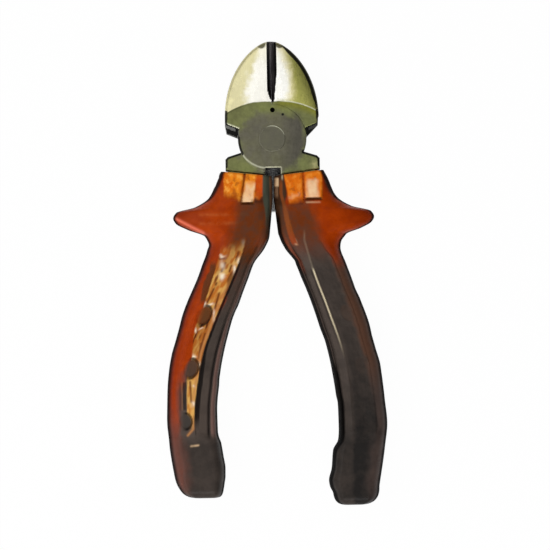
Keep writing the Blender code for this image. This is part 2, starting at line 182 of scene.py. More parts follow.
hang_panel("jaw_panel", (0, 22, 0), (-60, 17), (9, 36), 1.12)
hang_panel("side_panel", (-28, -60, 0), (-52, -24), (-24, 24), 2.0)
hang_panel("front_panel", (0, -60, 0), (-30, 30), (-54, -30), 5.0)

# Forged halves: two drop-forged steel bars of the same shape, the rear one turned over. Each has
# one jaw, ground to a crown, one lap disc that turns in the other half's seat, and one tang.

HEAD_DEPTH = 11
JAW_REACH = 33.8
JAW_HALF_WIDTH = 16.25
JAW_WIDEST_AT = 7
JAW_CORNER_AT = 4.4
JAW_HEEL = (15.8, 1.9)
TIP_ROUND = 5.2
SIDE_ROUND = 17.4
CROWN_AT = 12.85  # where the crown starts, at its highest
CROWN_PEAK = 3  # how far that is from the middle of the head
CROWN_BOW = 44  # twice the radius of the line where it starts
CROWN_FALL = 0.1415  # its slope to the tip
CROWN_SWELL = 0.0005  # and how it grows to the sides
HEEL_BEVEL_FROM = (16.2, 5.6)
HEEL_BEVEL_TO = (11.25, 3.58)
HEEL_BEVEL_SLOPE = 0.95
HEEL_BEVEL_DEPTH = 3.2
HEEL_PALE = (0.45, 1.4)  # where it is painted grey, and black above and below, as shade
HEEL_LINE = 0.3  # width of the painted highlight line along its top
HEEL_HIGHLIGHT_STRENGTH = 0.9
# Corner that is trimmed off the right jaw
HEEL_TRIM = [(17.5, 10.5), (16.0, 7.0), (15.85, 4.5), (12.0, 0.5), (12.0, 0.3), (17.5, 0.3)]
CUT_LINE = 0.004  # half of the gap between the shut edges
CUT_LAND = 0.5
CUT_BEVEL = (1.35, 1.97)  # width on the front and on the back face
CUT_KNEE = 0.55  # share of the bevel's width that is the shallow part
CUT_KNEE_HEIGHT = 0.35
CUT_ROOT = 12.5
CUT_START = 13.4  # the front bevel grows from here
CUT_FADE = (17, 23.5)  # where the two bevels have their full width
CUT_SWELL = 0.7  # how fast the front bevel grows: 1 is evenly
CUT_LEAST = 0.4  # share of the back bevel's width that is left at its root,
CUT_RUNOUT = 0.6  # where it runs out over this length
RELIEF_AT = (0.26, 9.9)
RELIEF_RADIUS = 0.85
RELIEF_DEPTH = 3
DISC_RADIUS = 11.85
SEAT_RADIUS = 11.9
DISC_FOOT = 10.1
FOOT_FROM = 2.6  # where the foot starts, left of the rivet
FOOT_LINE_START = 0.42  # painted highlight line on the disc's face: where round the disc it starts and ends,
FOOT_LINE_END = 1.29
FOOT_LINE_DRAW = 1.4  # how far it draws in from the edge on the way,
FOOT_LINE_CURVE = 1.7  # how late it does so,
FOOT_LINE = 0.22  # and its width
NECK_TOP = 0.3
NECK_BOTTOM = 4.7
SHOULDER_OUTER = 16.3
SHOULDER_INNER = 2.8
SHOULDER_CORNER_AT = 7
SHOULDER_CLIP = 0.9
LAP_GAP = 0.1
JAW_EDGE = 0.8  # rounding of the jaw's outer edge
JAW_SCALE = 1.6  # how far in from it the forging scale is left on, in a band that also carries painted shade
EDGE_SCALE = 1.35  # and from the other outer edges
FORGED_ROUND = 0.6  # of the other outer edges
DISC_ROUND = 0.25  # of the lap disc where its edge is bare
LAP_ROUND = 0.4  # of the lap disc's free edge
SEAM_ROUND = 0.06  # and of the edges that meet in the lap joint
ROUND_SHARE = 0.8  # how deep a rounding is for its width
RIVET_HEAD = 4.55
RIVET_SHANK = 3
RIVET_RIM = 0.5
RIVET_SEAM = 0.015
FINE = 0.28  # mesh width of the ground faces

TANG_ROOT = 10.2
TANG_DEPTH = 7
TANG_INSET = 1.5
TANG_TOP_WIDTH = 11
TANG_END_WIDTH = 8
TANG_REACH = 112
TANG_CORNER = 1
TANG_OVERLAP = 2  # how far it reaches up into the shoulder
COLLAR_TOP = 12.95
COLLAR_SLANT = 1.85
COLLAR_END = 21.8
GUARD_END = 34
FIT = 0.3

DOUBLE = 0.001  # points that are closer than this are one
FAR = 1000  # stands for nowhere near
STOCK_SIZE = (34.4, 47.6)  # of the bar that a half is cut from, and its middle
STOCK_AT = (0.11, 10.6)
HEEL_GREY_FROM = 12.6  # the slope under the heel is painted grey as shade outside this,
HEEL_TONE = {-1: 0.46, 1: 0.68}  # on the left and on the right jaw,
HEEL_BLACK = 0.85  # and black elsewhere
SIDE_TONE = 0.4  # of the outer sides, where 1 is black
FLAT_LEAN, WALL_LEAN = 0.85, 0.5  # a face is flat above the one, and a wall below the other

# Plan of a handle: distance below the rivet, and distance from the middle of the tool
INNER_EDGE = [
    (12.4, 3.1), (19.0, 0.7), (28.0, 0.8), (34.0, 1.6), (38.0, 3.4), (43.0, 7.1), (64.0, 15.2),
    (80.0, 19.1), (94.0, 20.8), (101.0, 20.7), (108.0, 18.9), (120.0, 18.0),
]
OUTER_EDGE = [
    (10.4, 17.2), (13.0, 18.9), (20.0, 22.3), (23.2, 27.2), (25.0, 33.8), (27.0, 34.9), (28.8, 34.0),
    (31.0, 30.0), (33.4, 24.6), (37.0, 23.2), (44.0, 25.4), (64.0, 33.0), (80.0, 36.9), (97.0, 38.3),
    (108.0, 37.1), (121.0, 35.0),
]
HALF_HEAD = HEAD_DEPTH / 2


def edge_at(points, distance):
    """Smooth curve through (distance, x) points, which never overshoots them."""
    places, values = zip(*points)
    if distance <= places[0]:
        return values[0]
    if distance >= places[-1]:
        return values[-1]
    slopes = [(b - a) / (q - p) for p, q, a, b in zip(places, places[1:], values, values[1:])]

    def tangent(knot):
        if knot in (0, len(places) - 1):
            return slopes[min(knot, len(slopes) - 1)]
        before, after = slopes[knot - 1], slopes[knot]
        return 2 * before * after / (before + after) if before * after > 0 else 0.0

    knot = bisect_right(places, distance) - 1
    span = places[knot + 1] - places[knot]
    t = (distance - places[knot]) / span
    start, end = values[knot], values[knot + 1]
    leave, arrive = tangent(knot) * span, tangent(knot + 1) * span
    bend = 3 * (end - start) - 2 * leave - arrive
    twist = 2 * (start - end) + leave + arrive
    return start + t * (leave + t * (bend + t * twist))


def bezier(start, leave, arrive, end, count):
    """Points along a Bezier curve, without its last one."""
    t = np.linspace(0, 1, count, endpoint=False)[:, None]
    points = [np.array(point) for point in (start, leave, arrive, end)]
    weights = ((1 - t) ** 3, 3 * t * (1 - t) ** 2, 3 * t ** 2 * (1 - t), t ** 3)
    return [tuple(point) for point in sum(w * p for w, p in zip(weights, points))]


def arc(radius, start, end, count):
    """Points along an arc round the rivet's axis, with both ends."""
    return [(radius * math.cos(a), radius * math.sin(a)) for a in np.linspace(start, end, count)]


def apply_modifier(piece, kind, **settings):
    bpy.context.view_layer.objects.active = piece
    modifier = piece.modifiers.new(kind.lower(), kind)
    for name, value in settings.items():
        setattr(modifier, name, value)
    bpy.ops.object.modifier_apply(modifier=modifier.name)


def cut(piece, tool, operation="DIFFERENCE"):
    """Boolean of a piece with a tool, which is then thrown away."""
    apply_modifier(piece, "BOOLEAN", object=tool, operation=operation, solver="EXACT")
    bpy.data.objects.remove(tool)


def select_only(piece):
    bpy.ops.object.select_all(action="DESELECT")
    piece.select_set(True)
    bpy.context.view_layer.objects.active = piece


def edit(piece):
    """Edit mode on one piece with everything selected."""
    select_only(piece)
    bpy.ops.object.mode_set(mode="EDIT")
    bpy.ops.mesh.select_all(action="SELECT")


def close_edit():
    bpy.ops.mesh.select_all(action="SELECT")
    bpy.ops.mesh.normals_make_consistent(inside=False)
    bpy.ops.object.mode_set(mode="OBJECT")


def plate(name, outline, low, high):
    """Plate of a flat outline between two heights."""
    bpy.ops.mesh.primitive_circle_add(vertices=len(outline), fill_type="NGON")
    piece = bpy.context.object
    piece.name = name
    for vertex, point in zip(piece.data.vertices, outline):
        vertex.co = (point[0] * MM, point[1] * MM, high * MM)
    edit(piece)
    bpy.ops.mesh.extrude_region_move(TRANSFORM_OT_translate={"value": (0, 0, (low - high) * MM)})
    close_edit()
    return piece


def peg(name, radius, low, high, centre=(0, 0), sides=128):
    """Upright round tool for drilling and turning."""
    middle = [centre[0] * MM, centre[1] * MM, (low + high) / 2 * MM]
    bpy.ops.mesh.primitive_cylinder_add(
        vertices=sides, radius=radius * MM, depth=(high - low) * MM, location=middle)
    piece = bpy.context.object
    piece.name = name
    bpy.ops.object.transform_apply(location=True)
    return piece


def loft(name, rings, marks=None):
    """Closed skin over rings of points; it starts as a grid, whose long sides are joined into a tube."""
    rings = np.array(rings) * MM
    rows, columns = rings.shape[:2]
    bpy.ops.mesh.primitive_grid_add(x_subdivisions=columns, y_subdivisions=rows - 1, size=1)
    piece = bpy.context.object
    piece.name = name
    points = np.concatenate([rings, rings[:, :1]], axis=1)
    piece.data.vertices.foreach_set("co", points.astype(np.float32).ravel())
    for mark, values in (marks or {}).items():
        attribute = piece.data.attributes.new(mark, "FLOAT", "POINT")
        values = np.concatenate([values, values[:, :1]], axis=1)
        attribute.data.foreach_set("value", values.astype(np.float32).ravel())
    edit(piece)
    bpy.ops.mesh.remove_doubles(threshold=DOUBLE * MM)
    bpy.ops.mesh.select_all(action="SELECT")
    bpy.ops.mesh.fill_holes(sides=0)
    close_edit()
    return piece


def mouth_height(x):
    """Slanted line where the shoulder meets the sleeve."""
    inner, outer = INNER_EDGE[0][1], OUTER_EDGE[0][1]
    return -COLLAR_TOP + COLLAR_SLANT * (x - inner) / (outer - inner)


def forging_outline():
    """Plan of the front layer of a half: points, and the rounding of the edge that leaves each of them."""
    neck_top = math.asin(NECK_TOP / DISC_RADIUS)
    neck_bottom = math.asin(NECK_BOTTOM / DISC_RADIUS)
    foot = 1.5 * math.pi - math.asin(FOOT_FROM / DISC_RADIUS)
    slit = math.asin(CUT_LINE / DISC_RADIUS)
    runs = [
        (JAW_EDGE, bezier((-CUT_LINE, JAW_REACH), (-TIP_ROUND, JAW_REACH),
                          (-JAW_HALF_WIDTH, JAW_WIDEST_AT + SIDE_ROUND),
                          (-JAW_HALF_WIDTH, JAW_WIDEST_AT), 48)),
        (FORGED_ROUND, [(-JAW_HALF_WIDTH, JAW_WIDEST_AT), (-JAW_HALF_WIDTH, JAW_CORNER_AT),
                        (-JAW_HEEL[0], JAW_HEEL[1])]),
        (DISC_ROUND, arc(DISC_RADIUS, math.pi - neck_top, math.pi + FOOT_LINE_START, 12)),
        (SEAM_ROUND, arc(DISC_RADIUS, math.pi + FOOT_LINE_START + 0.02, foot, 40)),
        (LAP_ROUND, [(-FOOT_FROM, -DISC_FOOT), (SHOULDER_INNER, -DISC_FOOT)]),
        (FORGED_ROUND, [
            (SHOULDER_INNER, mouth_height(SHOULDER_INNER) + FIT),
            (SHOULDER_OUTER, mouth_height(SHOULDER_OUTER) + FIT),
            (SHOULDER_OUTER, -SHOULDER_CORNER_AT),
            (SHOULDER_OUTER - SHOULDER_CLIP, SHOULDER_CLIP - SHOULDER_CORNER_AT),
        ]),
        (SEAM_ROUND, arc(DISC_RADIUS, -neck_bottom, math.pi / 2 + slit, 72)),
    ]
    points = [point for _, run in runs for point in run]
    rounds = [size for size, run in runs for _ in run]
    rounds[-1] = 0.0
    return points, rounds


def near_line(x, y, line):
    """Distance of plan points from a straight piece of line between two points."""
    ax, ay, bx, by = line
    t = np.clip(((x - ax) * (bx - ax) + (y - ay) * (by - ay)) / ((bx - ax) ** 2 + (by - ay) ** 2), 0, 1)
    return np.hypot(x - ax - t * (bx - ax), y - ay - t * (by - ay))


def nearness(x, y, outline, sizes):
    """1 at an outline's edges, falling to 0 at each edge's own distance from it, and that distance."""
    near = np.zeros_like(x)
    reach = np.zeros_like(x)
    for start, end, size in zip(outline, outline[1:] + outline[:1], sizes):
        if size > 0:
            share = 1 - near_line(x, y, (*start, *end)) / size
            reach = np.where(share > near, size, reach)
            near = np.maximum(near, share)
    return near, reach


def crown_drop(x, y):
    """How far the ground crown lies below the flat face."""
    past = np.maximum(0, y - CROWN_AT + (np.abs(x) - CROWN_PEAK) ** 2 / CROWN_BOW)
    return past * (CROWN_FALL + CROWN_SWELL * x ** 2)


def bevel_height(x, y, z):
    """Height of the cutting edge's two-step bevel over the middle of the jaw, and where it lies."""
    width = np.where(z > 0, *CUT_BEVEL)
    front_share = np.clip((y - CUT_START) / (CUT_FADE[0] - CUT_START), 0, 1) ** CUT_SWELL
    back_share = CUT_LEAST + (1 - CUT_LEAST) * np.clip((y - CUT_ROOT) / (CUT_FADE[1] - CUT_ROOT), 0, 1)
    back_share = back_share * np.sqrt(np.clip((y - CUT_ROOT) / CUT_RUNOUT, 0, 1))
    share = np.where(z > 0, front_share, back_share)
    u = np.maximum(0, -x - CUT_LINE) / np.maximum(share * width, DOUBLE)
    knee = CUT_KNEE_HEIGHT
    rise = np.where(u < CUT_KNEE, knee * u / CUT_KNEE, knee + (1 - knee) * (u - CUT_KNEE) / (1 - CUT_KNEE))
    land = CUT_LAND / 2
    middle = HALF_HEAD - crown_drop(0 * x, y)
    inside = (y > CUT_ROOT) & (x < 0) & (u < 1)
    return np.where(inside, land + rise * (middle - land), HALF_HEAD), inside


def heel_drop(x, y):
    """How far the slope under the jaw's heel lies below the flat face, and how far down it a point is."""
    ax, ay = -HEEL_BEVEL_FROM[0], HEEL_BEVEL_FROM[1]
    bx, by = -HEEL_BEVEL_TO[0], HEEL_BEVEL_TO[1]
    run = math.hypot(bx - ax, by - ay)
    below = ((y - ay) * (ax - bx) - (x - ax) * (ay - by)) / run
    here = (np.hypot(x, y) > DISC_RADIUS) & (x < 0) & (y > 0)
    drop = np.clip(HEEL_BEVEL_SLOPE * below, 0, HEEL_BEVEL_DEPTH)
    return np.where(here, drop, 0), np.where(here, below, -FAR)


def tang(name, grow):
    """Tang under the sleeve; grown, it is the socket in the sleeve."""
    top = COLLAR_TOP - COLLAR_SLANT - TANG_OVERLAP - grow
    rings = []
    for distance in np.linspace(top, TANG_REACH + grow, 60):
        share = min(1, max(0, (distance - COLLAR_TOP) / (TANG_REACH - COLLAR_TOP)))
        thinning = min(1, max(0, (distance - COLLAR_TOP) / (GUARD_END - COLLAR_TOP)))
        width = TANG_TOP_WIDTH + share * (TANG_END_WIDTH - TANG_TOP_WIDTH)
        half = (TANG_ROOT + thinning * (TANG_DEPTH - TANG_ROOT)) / 2 + grow
        inner = edge_at(INNER_EDGE, distance) + TANG_INSET - grow
        outer = inner + width + 2 * grow
        low = half - TANG_CORNER
        section = [(inner, low), (inner + TANG_CORNER, half), (outer - TANG_CORNER, half), (outer, low)]
        section += [(x, -z) for x, z in reversed(section)]
        rings.append([(x, -distance, z) for x, z in section])
    return loft(name, rings)


def read_points(piece):
    """A mesh's points as an array."""
    points = np.empty(len(piece.data.vertices) * 3, np.float32)
    piece.data.vertices.foreach_get("co", points)
    return points.reshape(-1, 3).astype(float) / MM


def write_points(piece, points):
    piece.data.vertices.foreach_set("co", (points * MM).astype(np.float32).ravel())
    piece.data.update()


def read_faces(piece, what):
    """The normal or the centre of every face as an array."""
    values = np.empty(len(piece.data.polygons) * 3, np.float32)
    piece.data.polygons.foreach_get(what, values)
    return values.reshape(-1, 3)


def store_mark(piece, name, values, domain="POINT"):
    """Keep a number for every point or face in the mesh, for the material to read."""
    attribute = piece.data.attributes.new(name, "FLOAT", domain)
    attribute.data.foreach_set("value", values.astype(np.float32).ravel())


outline, rounds = forging_outline()
columns, rows = [round(size / FINE) for size in STOCK_SIZE]
bpy.ops.mesh.primitive_grid_add(x_subdivisions=columns, y_subdivisions=rows, size=1)
front = bpy.context.object
front.name = "front_forging"
shares = read_points(front) * MM  # of the grid's side, which is one metre
write_points(front, shares * (columns * FINE, rows * FINE, 0) + (*STOCK_AT, HALF_HEAD))
edit(front)
bpy.ops.mesh.extrude_region_move(TRANSFORM_OT_translate={"value": (0, 0, -HEAD_DEPTH * MM)})
close_edit()
cut(front, plate("outline_tool", outline, -HEAD_DEPTH, HEAD_DEPTH), "INTERSECT")

spots = read_points(front)
x, y, z = spots.T
bevel, in_slit = bevel_height(x, y, z)
near, reach = nearness(x, y, outline, rounds)
rim = ROUND_SHARE * reach * near ** 2
heel_fall, below_heel = heel_drop(x, y)
drop = np.maximum(crown_drop(x, y), HALF_HEAD - bevel) + heel_fall + np.where(in_slit, 0, rim)
spots[:, 2] = np.sign(z) * np.maximum(np.abs(z) - drop, CUT_LAND / 2)
write_points(front, spots)
turns = np.linspace(FOOT_LINE_START, FOOT_LINE_END, 30)
drawn = DISC_RADIUS - FOOT_LINE_DRAW * (turns / FOOT_LINE_END) ** FOOT_LINE_CURVE
foot_line = [(-r * math.cos(a), -r * math.sin(a)) for r, a in zip(drawn, turns)]
foot_line += [(SHOULDER_INNER, -DISC_FOOT), (SHOULDER_INNER, -COLLAR_TOP)]
from_foot = np.min([near_line(x, y, (*a, *b)) for a, b in zip(foot_line, foot_line[1:])], axis=0)
# Band along the outer edges, for forging scale and for painted shade
scale_sizes = {JAW_EDGE: JAW_SCALE, FORGED_ROUND: EDGE_SCALE, DISC_ROUND: EDGE_SCALE}
scale_and_shade, _ = nearness(x, y, outline, [scale_sizes.get(size, 0) for size in rounds])
store_mark(front, "slit", in_slit)
# Painted highlight lines along the disc's foot and along the heel bevel's top
store_mark(front, "edge_highlight", np.exp(-(from_foot / FOOT_LINE) ** 2))
store_mark(front, "heel_highlight", HEEL_HIGHLIGHT_STRENGTH * np.exp(-(below_heel / HEEL_LINE) ** 2))
store_mark(front, "scale_and_shade", scale_and_shade)

cut(front, tang("tang_stock", 0), "UNION")
cut(front, peg("seat_tool", SEAT_RADIUS, -HEAD_DEPTH, LAP_GAP / 2))
cut(front, peg("relief_tool", RELIEF_RADIUS, HALF_HEAD - RELIEF_DEPTH, HEAD_DEPTH, RELIEF_AT, 32))
cut(front, peg("rivet_tool", RIVET_HEAD + RIVET_SEAM, HALF_HEAD - RIVET_RIM, HEAD_DEPTH))
cut(front, peg("shank_tool", RIVET_SHANK + RIVET_SEAM, -HEAD_DEPTH, HEAD_DEPTH))

rear = front.copy()
rear.data = front.data.copy()
rear.name = "rear_forging"
bpy.context.scene.collection.objects.link(rear)
rear.data.transform(Matrix.Rotation(math.pi, 4, "Y"))
cut(rear, plate("heel_tool", HEEL_TRIM, -HEAD_DEPTH, HEAD_DEPTH))

for half, side in ((front, -1), (rear, 1)):
    normals = read_faces(half, "normal")
    x, y, z = read_faces(half, "center").T / MM
    lean = np.abs(normals[:, 2])
    steep = np.where(normals[:, 0] * x + normals[:, 1] * y > 0, SIDE_TONE, 1.0)
    _, below = heel_drop(-np.abs(x), y)
    # The slope under the jaw's heel is painted grey and black as shade, lighter on the left jaw
    under_heel = (below > 0) & (lean < FLAT_LEAN) & (x * side > 0)
    heel_grey_band = (below > HEEL_PALE[0]) & (below < HEEL_PALE[1]) & (np.abs(x) > HEEL_GREY_FROM)
    heel_tone = np.where(heel_grey_band, HEEL_TONE[side], HEEL_BLACK)
    from_relief = np.hypot(x + side * RELIEF_AT[0], y - RELIEF_AT[1])
    in_relief = (from_relief < RELIEF_RADIUS) & (np.abs(z) < HALF_HEAD - RELIEF_DEPTH / 4)
    # Walls facing inwards and the relief hole's inside are painted black as shade; outer sides are grey
    wall = np.where(in_relief, 1, np.where(lean < WALL_LEAN, steep, heel_tone * under_heel))
    store_mark(half, "wall", wall, "FACE")


def new_group(name, inputs, outputs):
    """Empty shader node group with its ends; inputs and outputs are (name, socket type)."""
    group = bpy.data.node_groups.new(name, "ShaderNodeTree")
    for way_in, sockets in (("INPUT", inputs), ("OUTPUT", outputs)):
        for socket, kind in sockets:
            group.interface.new_socket(socket, in_out=way_in, socket_type="NodeSocket" + kind)
    return group, group.nodes.new("NodeGroupInput").outputs, group.nodes.new("NodeGroupOutput").inputs


def noise(place, low, high, **inputs):
    """Noise over a place, stretched to run from 0 to 1."""
    sockets = {"Vector": place, **{name.capitalize(): value for name, value in inputs.items()}}
    return ranged(add_node(place.id_data, "ShaderNodeTexNoise", sockets).outputs["Fac"], low, high)


mottle, given, wanted = new_group(
    "mottle",
    [("Place", "Vector"), ("Cloud Scale", "Float"), ("Stroke Width", "Vector")],
    [("Cloud", "Float"), ("Speck", "Float"), ("Stroke", "Float")])
sockets = {0: given["Place"], 1: given["Stroke Width"]}
stretched = add_node(mottle, "ShaderNodeVectorMath", sockets, operation="MULTIPLY").outputs[0]
clouds = noise(given["Place"], 0.3, 0.7, scale=given["Cloud Scale"], detail=5.0, roughness=0.62)
specks = noise(given["Place"], 0.56, 0.7, scale=times(given["Cloud Scale"], 6.0), detail=3.0)
strokes = noise(stretched, 0.32, 0.68, scale=1.0, detail=2.0)
for value, name in ((clouds, "Cloud"), (specks, "Speck"), (strokes, "Stroke")):
    mottle.links.new(value, wanted[name])


def add_mottle(place, cloud_scale, stroke_width):
    """The shared mottle in a material: clouds, specks and strokes over places in millimetres."""
    inputs = {"Place": place, "Cloud Scale": cloud_scale, "Stroke Width": stroke_width}
    return add_node(place.id_data, "ShaderNodeGroup", inputs, node_tree=mottle).outputs


def mark_value(tree, name):
    """A mark that was stored in a piece's mesh."""
    return add_node(tree, "ShaderNodeAttribute", attribute_name=name).outputs["Fac"]


def place_in_mm(tree):
    """Place on a piece in millimetres from the rivet's middle."""
    place = add_node(tree, "ShaderNodeTexCoord").outputs["Object"]
    inputs = {"Vector": place, "Location": -PIVOT / MM, "Scale": (1 / MM,) * 3}
    return add_node(tree, "ShaderNodeMapping", inputs).outputs[0]


def coated(colour, coats):
    """A colour under (share, tone) coats, each laid over the ones before it."""
    for share, tone in coats:
        colour = mixed(share, colour, tone)
    return colour


def dimmed(colour, share):
    """A colour times a number."""
    inputs = {0: colour, "Scale": share}
    return add_node(colour.id_data, "ShaderNodeVectorMath", inputs, operation="SCALE").outputs[0]


def new_material(name):
    """Material with its node tree and the inputs of its shader."""
    material = bpy.data.materials.new(name)
    material.use_nodes = True
    return material, material.node_tree, material.node_tree.nodes["Principled BSDF"].inputs


def dress(piece, material, crease):
    """Put a finished piece in its place, with its material and with smooth faces up to an angle."""
    piece.data.transform(Matrix.Translation(PIVOT))
    piece.data.materials.clear()
    piece.data.materials.append(material)
    select_only(piece)
    bpy.ops.object.shade_smooth_by_angle(angle=math.radians(crease))


# Tones of the ground jaw faces, which carry their painted reflection and painted shade
STEEL_PALE = (0.92, 0.90, 0.82, 1)
STEEL_WHITE = (1.0, 0.99, 0.93, 1)
STEEL_CREAM = (0.80, 0.74, 0.42, 1)
STEEL_SHADE = (0.67, 0.62, 0.36, 1)
STEEL_STRAW = (0.80, 0.72, 0.36, 1)
STEEL_EDGE = (0.46, 0.42, 0.22, 1)
STEEL_OLIVE = (0.42, 0.41, 0.11, 1)
TIP_STAIN = (0.016, 0.017, 0.010, 1)
TIP_AT = (3.1, 32.6, 2.0)  # millimetres from the rivet, on either jaw
PLATE_OLIVE = (0.195, 0.203, 0.085, 1)
PLATE_GREEN = (0.250, 0.270, 0.100, 1)
PLATE_YELLOW = (0.270, 0.270, 0.038, 1)
DISC_GREY = (0.168, 0.158, 0.118, 1)
DISC_DARK = (0.112, 0.104, 0.084, 1)
DISC_OLIVE = (0.188, 0.182, 0.110, 1)
# pale colour of painted highlights on edges and on the rivet's rim
HIGHLIGHT_PALE = (0.84, 0.84, 0.64, 1)
# black of forging scale and of a nick, and of painted shade on walls, edges, the slit and under the crown
SCALE_AND_SHADE_BLACK = (0.016, 0.016, 0.015, 1)
HEEL_GREY = (0.19, 0.19, 0.18, 1)
SLIT_GREY = (0.33, 0.315, 0.315, 1)
CROWN_LEAN = -0.01  # the ground face starts a little lower on the left
SLIT_AT = 0.35  # millimetres from the middle
NICK_AT = (3.8, 8.3, 0.0)
SHOULDER_HIGHLIGHT_AT = (14.6, -9.2, 0.0)  # painted highlight on the right shoulder

ROUGH_DULL, ROUGH_GROUND = 0.46, 0.27
STEEL_CREASE = 40  # degrees between faces that stay sharp

cutter_steel, tree, steel = new_material("cutter_steel")
steel["Metallic"].default_value = 1.0
mark = partial(mark_value, tree)
place = place_in_mm(tree)
axes = add_node(tree, "ShaderNodeSeparateXYZ", {0: place}).outputs
across, along = axes["X"], axes["Y"]
mottles = add_mottle(place, 0.16, (2.2, 0.12, 2.2))
cloud, stroke = mottles["Cloud"], mottles["Stroke"]
wobble = maths("MULTIPLY_ADD", cloud, 2.0, -1.0)
to_middle = maths("ABSOLUTE", across)
from_peak = maths("SUBTRACT", to_middle, CROWN_PEAK)
bow = maths("DIVIDE", times(from_peak, from_peak), CROWN_BOW)
past = maths("ADD", along, maths("SUBTRACT", bow, CROWN_AT))
past = maths("MULTIPLY_ADD", across, CROWN_LEAN, past)
ground = ranged(maths("MULTIPLY_ADD", wobble, 0.12, past), -0.15, 0.2)

# The ground face of the jaws, with the reflection and shade of its dome painted in: pale by the
# cutting edges, straw and olive towards the sides
aside = maths("MULTIPLY_ADD", wobble, 1.6, across)
rising = maths("SUBTRACT", along, 18.6)
leftward = maths("MULTIPLY_ADD", rising, 0.22, times(aside, -1.0))
leaning = maths("MULTIPLY_ADD", maths("ABSOLUTE", rising), 0.25, across)
leaning = maths("MULTIPLY_ADD", wobble, 0.9, leaning)
folded = add_node(tree, "ShaderNodeCombineXYZ", {0: to_middle, 1: along, 2: axes["Z"]}).outputs[0]
bright = coated(mixed(ranged(across, -0.5, 0.5), STEEL_PALE, STEEL_WHITE), [
    (ranged(leftward, 6.0, 9.5), STEEL_SHADE),
    (ranged(leftward, 12.0, 13.8), STEEL_CREAM),
    (ranged(along, 22.0, 34.0, 0, 0.3), STEEL_STRAW),
    (ranged(leaning, 4.8, 9.2), STEEL_STRAW),
    (ranged(leaning, 7.1, 10.0), STEEL_OLIVE),
    (times(ranged(past, 1.4, 0.2, 0, 0.45), ranged(across, 1.0, 4.0)), STEEL_OLIVE),
    (ranged(between(folded, TIP_AT), 1.8, 1.2, 0, 0.96), TIP_STAIN),
])

# The flat faces: a grey disc in the middle of olive plate
flat = add_node(tree, "ShaderNodeCombineXYZ", {0: across, 1: along}).outputs[0]
raised = times(maths("MAXIMUM", along, 0.0), 0.24)
outside = maths("ADD", between(flat, (0, 0, 0)), maths("MULTIPLY_ADD", wobble, 1.4, raised))
to_right = maths("MULTIPLY_ADD", wobble, 1.5, across)
disc_tone = mixed(ranged(to_right, 1.0, 9.0, 0, 0.9), mixed(cloud, DISC_GREY, DISC_OLIVE), DISC_DARK)
dull = coated(disc_tone, [
    (ranged(outside, 10.4, 14.6), mixed(cloud, PLATE_OLIVE, PLATE_GREEN)),
    (times(ranged(past, -3.5, -0.3), ranged(aside, 0.0, 3.5), 0.88), PLATE_YELLOW),
    (ranged(between(flat, NICK_AT), 0.6, 0.3), SCALE_AND_SHADE_BLACK),
    (times(ranged(between(flat, SHOULDER_HIGHLIGHT_AT), 2.6, 0.4, 0, 0.7), cloud), STEEL_STRAW),
])

# Painted highlight lines, painted shade under the left of the crown's edge, forging scale and
# painted shade along the outer edges, walls painted dark as shade, and the slit between the cutting edges
scale_and_shade, wall = mark("scale_and_shade"), mark("wall")
crown_edge_highlight = times(ranged(maths("ABSOLUTE", past), 0.35, 0.1), ranged(across, 2.0, 5.0), 0.7)
heel_highlight = times(mark("heel_highlight"), ranged(across, 0.1, -0.1))
edge_highlight = times(maths("MAXIMUM", mark("edge_highlight"), heel_highlight), 0.8)
under_crown = times(ranged(past, -0.75, -0.35), ranged(past, 0.1, -0.15))
crown_shade = times(under_crown, ranged(across, -7.0, -11.0, 0, 0.35))
on_pale = times(ranged(along, 10.0, 20.0, 0, 0.6), scale_and_shade)
# Painted shade along the outer edges on the right jaw and round the plate and shoulders, not on the lit left
# jaw
right_side = times(ranged(across, 2.5, 6.5), ranged(along, 9.0, 15.0, 0.3, 1.0))
low_side = times(ranged(along, 10.2, 9.6), ranged(along, -10.2, -9.6, 0.3, 0.7))
black_reach = maths("SUBTRACT", 1.0, maths("MAXIMUM", right_side, low_side))
black_edge = ranged(maths("SUBTRACT", scale_and_shade, black_reach), 0.02, 0.22, 0, 0.95)
to_slit = maths("ABSOLUTE", maths("SUBTRACT", across, SLIT_AT))
colour = coated(dull, [
    (ground, bright),
    (crown_edge_highlight, HIGHLIGHT_PALE),
    (edge_highlight, HIGHLIGHT_PALE),
    (crown_shade, SCALE_AND_SHADE_BLACK),
    (on_pale, STEEL_EDGE),
    (black_edge, SCALE_AND_SHADE_BLACK),
    (ranged(wall, 0.0, 0.5), mixed(ranged(wall, 0.5, 0.8), HEEL_GREY, SCALE_AND_SHADE_BLACK)),
    (mark("slit"), mixed(ranged(to_slit, 1.0, 0.6), SCALE_AND_SHADE_BLACK, SLIT_GREY)),
])
grit = add_mottle(place, 0.8, (0.4, 5.0, 5.0))
brushed = maths("MULTIPLY_ADD", stroke, 0.10, 0.86)
tone = maths("MULTIPLY_ADD", grit["Cloud"], ranged(ground, 0, 1, 0.2, 0.07), brushed)
tree.links.new(dimmed(colour, tone), steel["Base Color"])
polish = maths("MULTIPLY_ADD", ground, ROUGH_GROUND - ROUGH_DULL, ROUGH_DULL)
rough = maths("MULTIPLY_ADD", wall, 0.25, maths("MULTIPLY_ADD", stroke, 0.1, polish))
tree.links.new(rough, steel["Roughness"])
relief = maths("MULTIPLY_ADD", stroke, 0.6, mottles["Speck"])
bump = add_node(tree, "ShaderNodeBump", {"Height": relief, "Strength": 0.05, "Distance": 0.05 * MM})
tree.links.new(bump.outputs[0], steel["Normal"])

for half, body, node in ((front, "front_side", "front_half"), (rear, "rear_side", "rear_half")):
    dress(half, cutter_steel, STEEL_CREASE)
    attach(half, body)
    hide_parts(node)

# Rivet: a turned steel pin with a wide flat head on either side, pressed into the two lap discs
# and ground flush with them.

